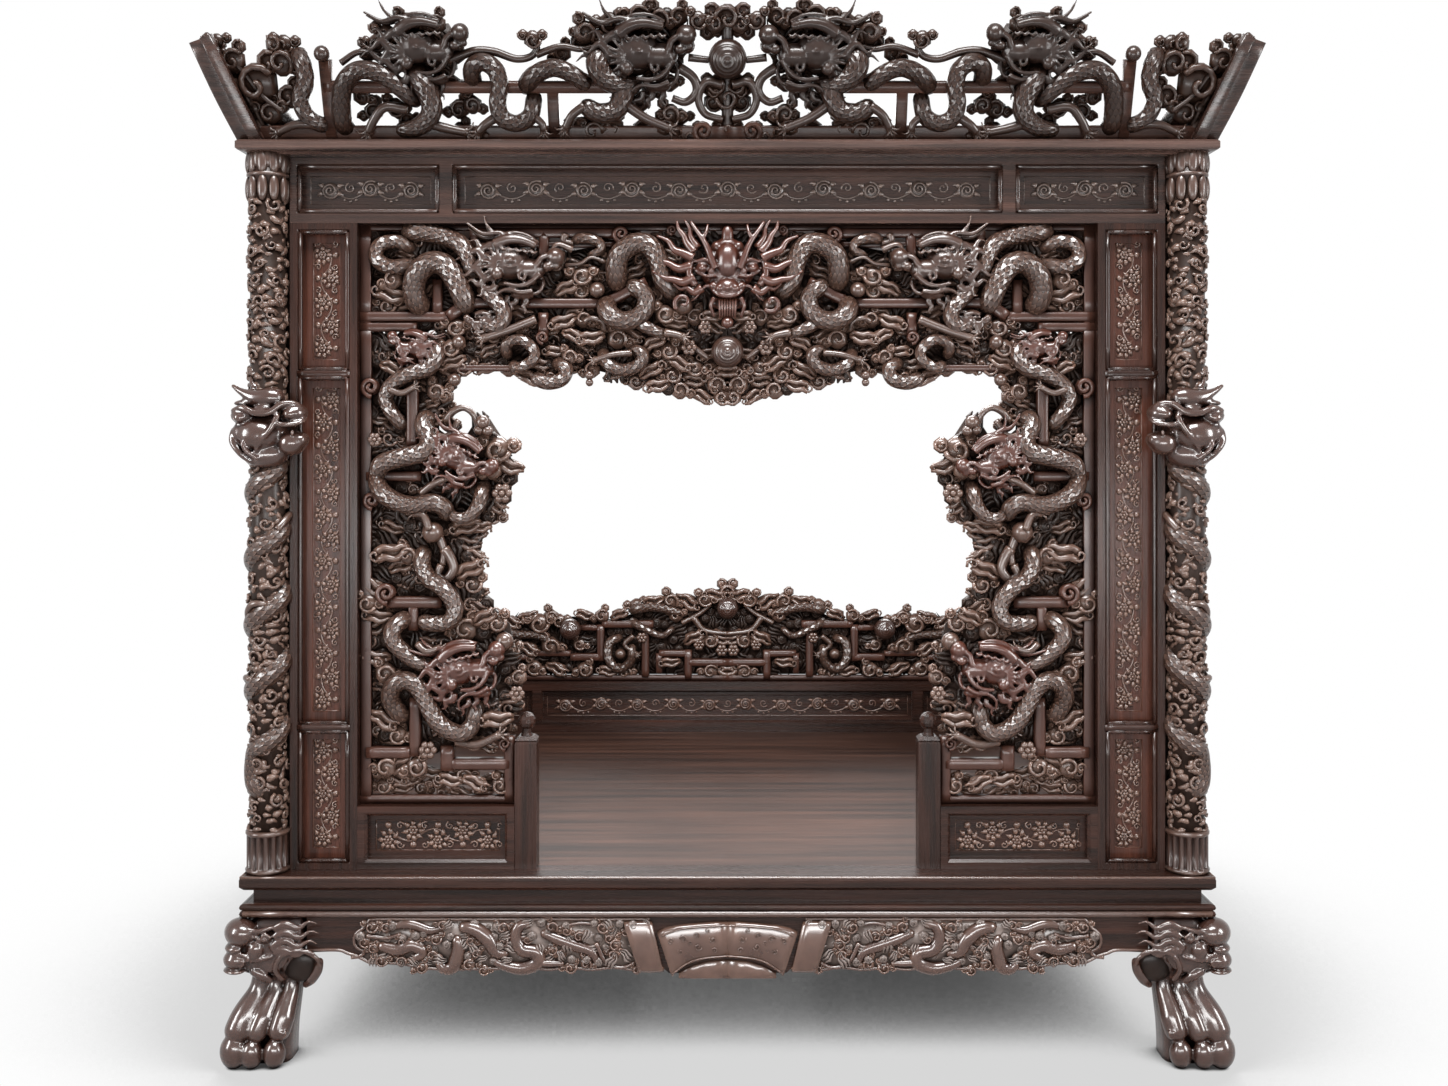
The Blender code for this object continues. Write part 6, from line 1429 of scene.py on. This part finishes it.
def sideSize(sideName):
    # Half the length of a side of the bed, and how far it stands from the middle
    halfDepth = (backEdge - frontEdge) / 2
    return (edgeX, halfDepth) if sideName in ("Front", "Back") else (halfDepth, edgeX)


for sideName, turn in bedSides.items():
    half, distance = sideSize(sideName)
    face = middleY - distance + apron["setback"]
    for hand, way in (("One", -1), ("Two", 1)):
        flat = flatPanel(way * half, 0.0, apron["bottom"], apron["top"], face)
        carveApron(turnedPanel(flat, turn, middleY), f"apron{sideName}{hand}")

# Two smooth rolls run over each apron, the upper one set back, and a fine bead along the platform's edge
roll = {"height": 0.0145, "setback": 0.004, "bead": 0.003}
for sideName, turn in bedSides.items():
    half, distance = sideSize(sideName)
    store = newStore()
    panel = turnedPanel(flatPanel(-half, half, legTop, platformTop, middleY - distance), turn, middleY)
    thick = roll["height"] / 2
    for z, setback in ((thick, 0.0), (3 * thick, roll["setback"])):
        inset = thick + setback
        rod(store, panel, straight((inset, z, -inset), (2 * half - inset, z, -inset)), thick * 1.08, 1.0, 16,
            0.1)
    z, inset = platformTop - legTop - roll["bead"], roll["bead"]
    rod(store, panel, straight((inset, z, -inset), (2 * half - inset, z, -inset)), inset * 1.1, 1.0, 10, 0.1)
    finishPiece(f"base{sideName}Rolls", store, polishedCarving)
print("aprons carved")


# Low relief of flowers and leaves in the panels. The margin is that of the carved field in each kind,
# rim what its frame covers, and sink how deep the field lies.
relief = {"margin": {"relief": 0.022, "skirt": 0.014, "frieze": 0.018, "back": 0.012}, "rim": 0.007,
          "sink": 0.0042,
          "bead": 0.0022, "moulding": 0.0055, "mouldingDepth": 0.003}


def vine(store, panel, upright):
    long, wide = (panel["height"], panel["width"]) if upright else (panel["width"], panel["height"])
    count = max(2, round(long / (wide * 0.82)))
    pitch = long / count

    def at(along, across, depth=0.0):
        return (wide / 2 + across, along, depth) if upright else (along, wide / 2 + across, depth)

    stem = [at(pitch * i / 2, wide * 0.22 * math.sin(math.pi * i / 2 + 0.6)) for i in range(1, 2 * count)]
    rod(store, panel, stem, 0.0028, 0.8, 7)
    for i in range(count):
        along = pitch * (i + 0.5)
        side = wide * 0.16 * (1 if i % 2 else -1)
        flower(store, panel, at(along, side, 0.0012), wide * 0.17)
        for k in range(8):
            # Rounded leaves fan out from the flower and from the far side of the stem
            angle = 0.4 + k * 0.785 + i
            base = at(along + math.cos(angle) * wide * 0.16, side + math.sin(angle) * wide * 0.16)
            far = np.clip(side + math.sin(angle + 0.35) * wide * 0.44, -wide * 0.47, wide * 0.47)
            tip = at(along + math.cos(angle + 0.35) * wide * 0.40, far)
            middle = tuple((p + q) / 2 + 0.003 * s for p, q, s in zip(base, tip, (1, -1, 0.4)))
            lock(store, panel, [base, middle, tip], wide * 0.10, 0.006)
        for way in (-1, 1):
            curl(store, panel, at(along + pitch * 0.48, way * wide * 0.31, 0.0012), wide * 0.13, way, i, 1.2,
                 0.28, 12, 5)
        ball(store, panel, at(along, -side * 2.0, 0.0), wide * 0.12, wide * 0.12, wide * 0.08, 5, 8)


def garland(store, panel):
    # A sagging stem between roses, with leaves and a few berries
    long, wide = panel["width"], panel["height"]
    count = max(3, round(long / (wide * 1.75)))
    pitch = long / count
    for i in range(count):
        along, rise = pitch * (i + 0.5), wide * (0.56 if i % 2 else 0.50)
        ball(store, panel, (along, rise, 0.0), wide * 0.32, wide * 0.30, wide * 0.10, 6, 12)
        curl(store, panel, (along, rise, 0.003), wide * 0.30, 1 if i % 2 else -1, i, 2.1, 0.15, 26, 6)
        for angle in (0.5, 2.6, 3.7, 5.7):
            base = (along + math.cos(angle) * wide * 0.26, rise + math.sin(angle) * wide * 0.22, 0.0)
            tip = (along + math.cos(angle) * wide * 0.58, rise + math.sin(angle) * wide * 0.36, 0.0)
            middle = tuple((p + q) / 2 for p, q in zip(base, tip))
            lock(store, panel, [base, (middle[0], middle[1] + wide * 0.06, 0.002), tip], wide * 0.10, 0.006)
    for i in range(count + 1):
        along = pitch * i
        reach = [(-0.40, 0.56), (-0.2, 0.30), (0.0, 0.22), (0.2, 0.32), (0.40, 0.54)]
        stem = [(along + p * pitch, q * wide, 0.0) for p,
                q in reach if 0.01 < (along + p * pitch) / long < 0.99]
        rod(store, panel, stem, 0.0028, 0.9, 7)
        if not 0 < i < count:
            continue
        curl(store, panel, (along, wide * 0.60, 0.0), wide * 0.20, 1 if i % 2 else -1, i * 2.0, 1.2, 0.16,
             16, 5)
        for shift in (-0.14, 0.0, 0.14):
            ball(store, panel, (along + shift * pitch, wide * (0.12 + 0.4 * abs(shift)), 0.001),
                 wide * 0.055, None, None, 5, 8)


def bead(store, panel, thick):
    # A fine raised line round a field
    w, h = panel["width"], panel["height"]
    for start, end in (((0, 0), (w, 0)), ((w, 0), (w, h)), ((w, h), (0, h)), ((0, h), (0, 0))):
        rod(store, panel, straight((*start, 0), (*end, 0)), thick, 1.0, 8, 0.05)


def panelFace(node, inset, face):
    # What is left of a panel's face inside an inset
    low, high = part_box(node)
    return flatPanel(low[0] + inset, high[0] - inset, low[2] + inset, high[2] - inset, face)


def windowMoulding(name, nodeNames, face, wood):
    # A half-round bead round the rim of each window
    store = newStore()
    for nodeName in nodeNames:
        bead(store, panelFace(nodeName, relief["rim"], face + relief["mouldingDepth"]), relief["moulding"])
    finishPiece(name, store, wood)


def reliefPanel(name, node, fill, wood=panelRelief):
    inset = relief["margin"][node.split("_")[0]] + relief["rim"]
    panel = panelFace(node, inset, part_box(node)[0][1] + relief["sink"])
    store = newStore()
    if fill == "garland":
        garland(store, panel)
    else:
        vine(store, panel, fill == "climbing")
    bead(store, panel, relief["bead"])
    finishPiece(name, store, wood)


for hand in ("left", "right"):
    for level in ("upper", "middle", "lower"):
        reliefPanel(f"{level}{hand.title()}Vine", f"relief_panel_{level}_{hand}", "climbing")
    reliefPanel(f"skirt{hand.title()}Vine", f"skirt_panel_{hand}", "lying")
    reliefPanel(f"frieze{hand.title()}Vine", f"frieze_panel_{hand}", "garland", friezeRelief)
    reliefPanel(f"back{hand.title()}Vine", f"back_panel_{hand}", "garland")
# A half-round rail between the panels of each door frame
for hand in ("left", "right"):
    store = newStore()
    for above, below in (("upper", "middle"), ("middle", "lower")):
        low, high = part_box(f"relief_panel_{above}_{hand}")[0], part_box(f"relief_panel_{below}_{hand}")[1]
        rail = flatPanel(low[0], high[0], high[2], low[2], frameFace)
        half = rail["height"] / 2
        rod(store, rail, straight((0, half, 0), (rail["width"], half, 0)), (half + 0.006) * 0.8, 1.0, 14,
            0.02, 0.35)
    finishPiece(f"{hand}FrameRails", store, plankAcross)
reliefPanel("friezeMiddleVine", "frieze_panel_middle", "garland", friezeRelief)
windowMoulding("friezeMouldings", [f"frieze_panel_{part}" for part in ("left", "middle", "right")],
               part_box("frieze_frame")[0][1], plankTop)
for hand in ("left", "right"):
    windowMoulding(f"{hand}FrameMouldings", [f"relief_panel_{level}_{hand}" for level in ("upper", "middle",
                                                                                          "lower")],
                   frameFace, plankUp)
reliefPanel("backMiddleVine", "back_panel_middle", "garland")
print("panels carved")


# Pierced board on the back railing
railing = {
    "bars": [((56, 62.5), (74, 62.5), 13), ((55.5, 22), (55.5, 62), 13), ((45, 26), (56, 26), 13),
             ((48, 58.5), (55, 58.5), 10),
             ((71.2, 4), (71.2, 62), 13), ((86.2, 2), (86.2, 34), 13), ((76, 30), (87, 30), 12),
             ((86, 20), (100, 20), 13),
             ((0, 3), (100, 3), 10), ((76, 8), (76, 30), 11), ((30, 30), (45, 30), 10),
             ((14, 26), (30, 26), 10)],
    "bodies": [(15, 1.0, [(62.5, 48), (58.6, 42), (58.4, 24), (62, 13), (66, 22), (66.4, 38)]),
               (15, 0.6, [(66, 66), (72, 56), (77, 50), (81, 58)]),
               (20, 0.7, [(66, 78), (72, 82), (78, 80), (84, 74)]),
               (16, 0.7, [(20, 60), (26, 52), (34, 50), (40, 40)])],
    "arms": [(9, [(67, 50), (64, 40), (68, 30)])],
    "bands": [(11, [(88, 70), (92, 56), (100, 52)]), (9, [(84, 64), (90, 74), (94, 84)])],
    "balls": [(62.5, 30, 18)],
    "flowers": [(70, 48, 18), (98, 34, 20), (90, 40, 18)],
    "front": [(34, 63, 26), (30, 70, 20), (38, 70, 20), (24, 66, 20), (41, 66, 18), (50, 72, 18),
              (56, 72, 18), (62, 74, 18), (68, 82, 20),
              (74, 88, 20), (80, 88, 22), (86, 88, 24), (92, 90, 20), (96, 94, 22), (100, 96, 24),
              (88, 48, 20), (94, 44, 20), (98, 44, 18),
              (38, 38, 24), (30, 36, 20), (48, 40, 16), (80, 20, 18), (94, 10, 20), (100, 10, 20),
              (50, 12, 20), (58, 10, 18), (64, 8, 18),
              (40, 14, 20), (32, 14, 20), (24, 40, 22), (18, 50, 22), (12, 40, 22), (8, 30, 20), (5, 20, 18),
              (82, 72, 18)],
    "grounds": [[(4, 6), (4, 30), (12, 50), (24, 66), (34, 70), (46, 70), (54, 66), (62, 68), (70, 78),
                 (80, 86), (92, 90), (100, 94),
               (100, 6)]],
}
low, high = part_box("back_carving")
for half, side in (("Left", -1), ("Right", 1)):
    panel = flatPanel(side * high[0], 0.0, low[2], high[2] - 0.014, (low[1] + high[1]) / 2)
    carvePanel(panel, railing, f"railing{half}", ["back_carving"] if side < 0 else [])
store = newStore()
panel = flatPanel(-high[0], high[0], low[2], high[2], (low[1] + high[1]) / 2)
for u, v in ((22.5, 55), (77.5, 55), (50, 77)):
    pearl(store, panel, share(panel, [(u, v)], 0.016)[0], 0.036)
finishPiece("railingPearls", store, polishedCarving)
print("railing carved")


# Plain joinery keeps its solids and takes planks with the grain along each piece
grainOf = {
    "door_frame": plankUp, "relief_panel": plankPanel, "door_post": plankUp, "column_back": plankUp,
    "finial": plankUp,
    "skirt": plankAcross, "frieze": plankTop, "cornice": plankCornice, "platform_rail_front": plankAcross,
    "platform_rail_back": plankAcross, "back": plankAcross, "canopy_rail_back": plankAcross,
    "apron_front": plankAcross,
    "apron_back": plankAcross, "bed_board": plankBed, "ceiling": plankBed, "platform_rail_left": plankDeep,
    "platform_rail_right": plankDeep, "apron_left": plankDeep, "apron_right": plankDeep,
    "canopy_rail_left": plankDeep,
    "canopy_rail_right": plankDeep, "side_rail": plankDeep, "bearer": plankDeep, "leg": carvedWood,
    "column_front": carvedWood,
    "crown": plankDeep, "fret": carvedWood,
}
for name, node in nodes.items():
    kind = max((start for start in grainOf if name.startswith(start)), key=len)
    node.data.materials.clear()
    node.data.materials.append(grainOf[kind])
print("planks laid")


# Pale floor and soft studio light
def areaLight(name, place, target, size, power):
    data = bpy.data.lights.new(name, "AREA")
    data.shape = "RECTANGLE"
    data.size, data.size_y = size
    data.energy = power
    lamp = bpy.data.objects.new(name, data)
    bpy.context.scene.collection.objects.link(lamp)
    lamp.location = place
    ray = np.array(target) - np.array(place)
    yaw = math.atan2(ray[1], ray[0]) - math.pi / 2
    pitch = math.atan2(ray[2], math.hypot(ray[0], ray[1])) + math.pi / 2
    lamp.rotation_euler = (pitch, 0, yaw)


studio = {
    "frontTop": ((0.0, -2.9, 5.2), (0, -0.6, 1.0), (3.0, 1.1), 700),
    "left": ((-4.2, -3.0, 2.0), (0, -0.4, 0.9), (0.9, 2.2), 240),
    "right": ((4.2, -3.0, 2.0), (0, -0.4, 0.9), (0.9, 2.2), 240),
    "back": ((0.0, 3.6, 3.6), (0, 0.4, 1.0), (4.0, 2.0), 150),
    "low": ((0.0, -3.4, 1.0), (0, -0.8, 0.2), (3.0, 0.3), 100),
    "inside": ((0.0, -0.45, 1.98), (0, 0.75, 0.7), (1.5, 0.4), 115),
}
for name, (place, target, size, power) in studio.items():
    areaLight(name, place, target, size, power)


def plainlySeen(tree):
    # 1 where the eye, a reflection or a look through glass meets it, 0 where it only lights
    rays = addNode(tree, "ShaderNodeLightPath")
    seen = calculate(tree, "MAXIMUM", rays.outputs["Is Camera Ray"], rays.outputs["Is Transmission Ray"])
    return calculate(tree, "MAXIMUM", seen, rays.outputs["Is Glossy Ray"])


world = bpy.data.worlds.new("studio")
bpy.context.scene.world = world
world.use_nodes = True
tree = world.node_tree
tree.nodes.clear()
seen = plainlySeen(tree)
dim = addNode(tree, "ShaderNodeBackground", inputs={"Color": (1, 1, 1, 1), "Strength": 0.13})
white = addNode(tree, "ShaderNodeBackground", inputs={"Color": (1, 1, 1, 1), "Strength": 1.0})
both = addNode(tree, "ShaderNodeMixShader", links={0: seen, 1: dim.outputs[0], 2: white.outputs[0]})
addNode(tree, "ShaderNodeOutputWorld", links={"Surface": both.outputs[0]})

# The floor is white to the eye and keeps two soft shadows: a dark one close under the bed and a wide pale one
bpy.ops.mesh.primitive_plane_add(size=40)
floor = bpy.context.object
floor.name = "floor"
floorMaterial = bpy.data.materials.new("paleStudioFloor")
floorMaterial.use_nodes = True
tree = floorMaterial.node_tree
tree.nodes.clear()
seen = plainlySeen(tree)
near = addNode(tree, "ShaderNodeAmbientOcclusion", {"samples": 24},
               {"Distance": 0.9, "Normal": (0, -0.707, 0.707)})
wide = addNode(tree, "ShaderNodeAmbientOcclusion", {"samples": 24},
               {"Distance": 1.6, "Normal": (0, -0.5, 0.866)})
dark = addNode(tree, "ShaderNodeMapRange", {"interpolation_type": "SMOOTHSTEP"},
               {"From Min": 0.125, "From Max": 0.41, "To Min": 0.06}, {"Value": near.outputs["AO"]})
pale = addNode(tree, "ShaderNodeMapRange", {"interpolation_type": "SMOOTHSTEP"},
               {"From Min": 0.70, "From Max": 0.91, "To Min": 0.68}, {"Value": wide.outputs["AO"]})
shade = calculate(tree, "MULTIPLY", dark.outputs["Result"], pale.outputs["Result"])
glow = addNode(tree, "ShaderNodeEmission", links={"Color": shade})
matt = addNode(tree, "ShaderNodeBsdfDiffuse", inputs={"Color": (0.8, 0.8, 0.8, 1)})
both = addNode(tree, "ShaderNodeMixShader", links={0: seen, 1: matt.outputs[0], 2: glow.outputs[0]})
addNode(tree, "ShaderNodeOutputMaterial", links={"Surface": both.outputs[0]})
floor.data.materials.append(floorMaterial)
print("studio lit")


# Camera square to the front, from where the photograph was taken
view = {"distance": 3.25, "eye": 1.4085, "focalPixels": 1444, "centre": (727.5, 440), "pixels": (1448, 1086),
        "sensorMm": 36.0}
data = bpy.data.cameras.new("camera")
camera = bpy.data.objects.new("camera", data)
bpy.context.scene.collection.objects.link(camera)
wide, tall = view["pixels"]
data.sensor_width = view["sensorMm"]
data.lens = view["focalPixels"] / wide * view["sensorMm"]
data.shift_x = (wide / 2 - view["centre"][0]) / wide
data.shift_y = (view["centre"][1] - tall / 2) / wide
camera.location = (0, frontEdge - view["distance"], view["eye"])
camera.rotation_euler = (math.pi / 2, 0, 0)
bpy.context.scene.camera = camera
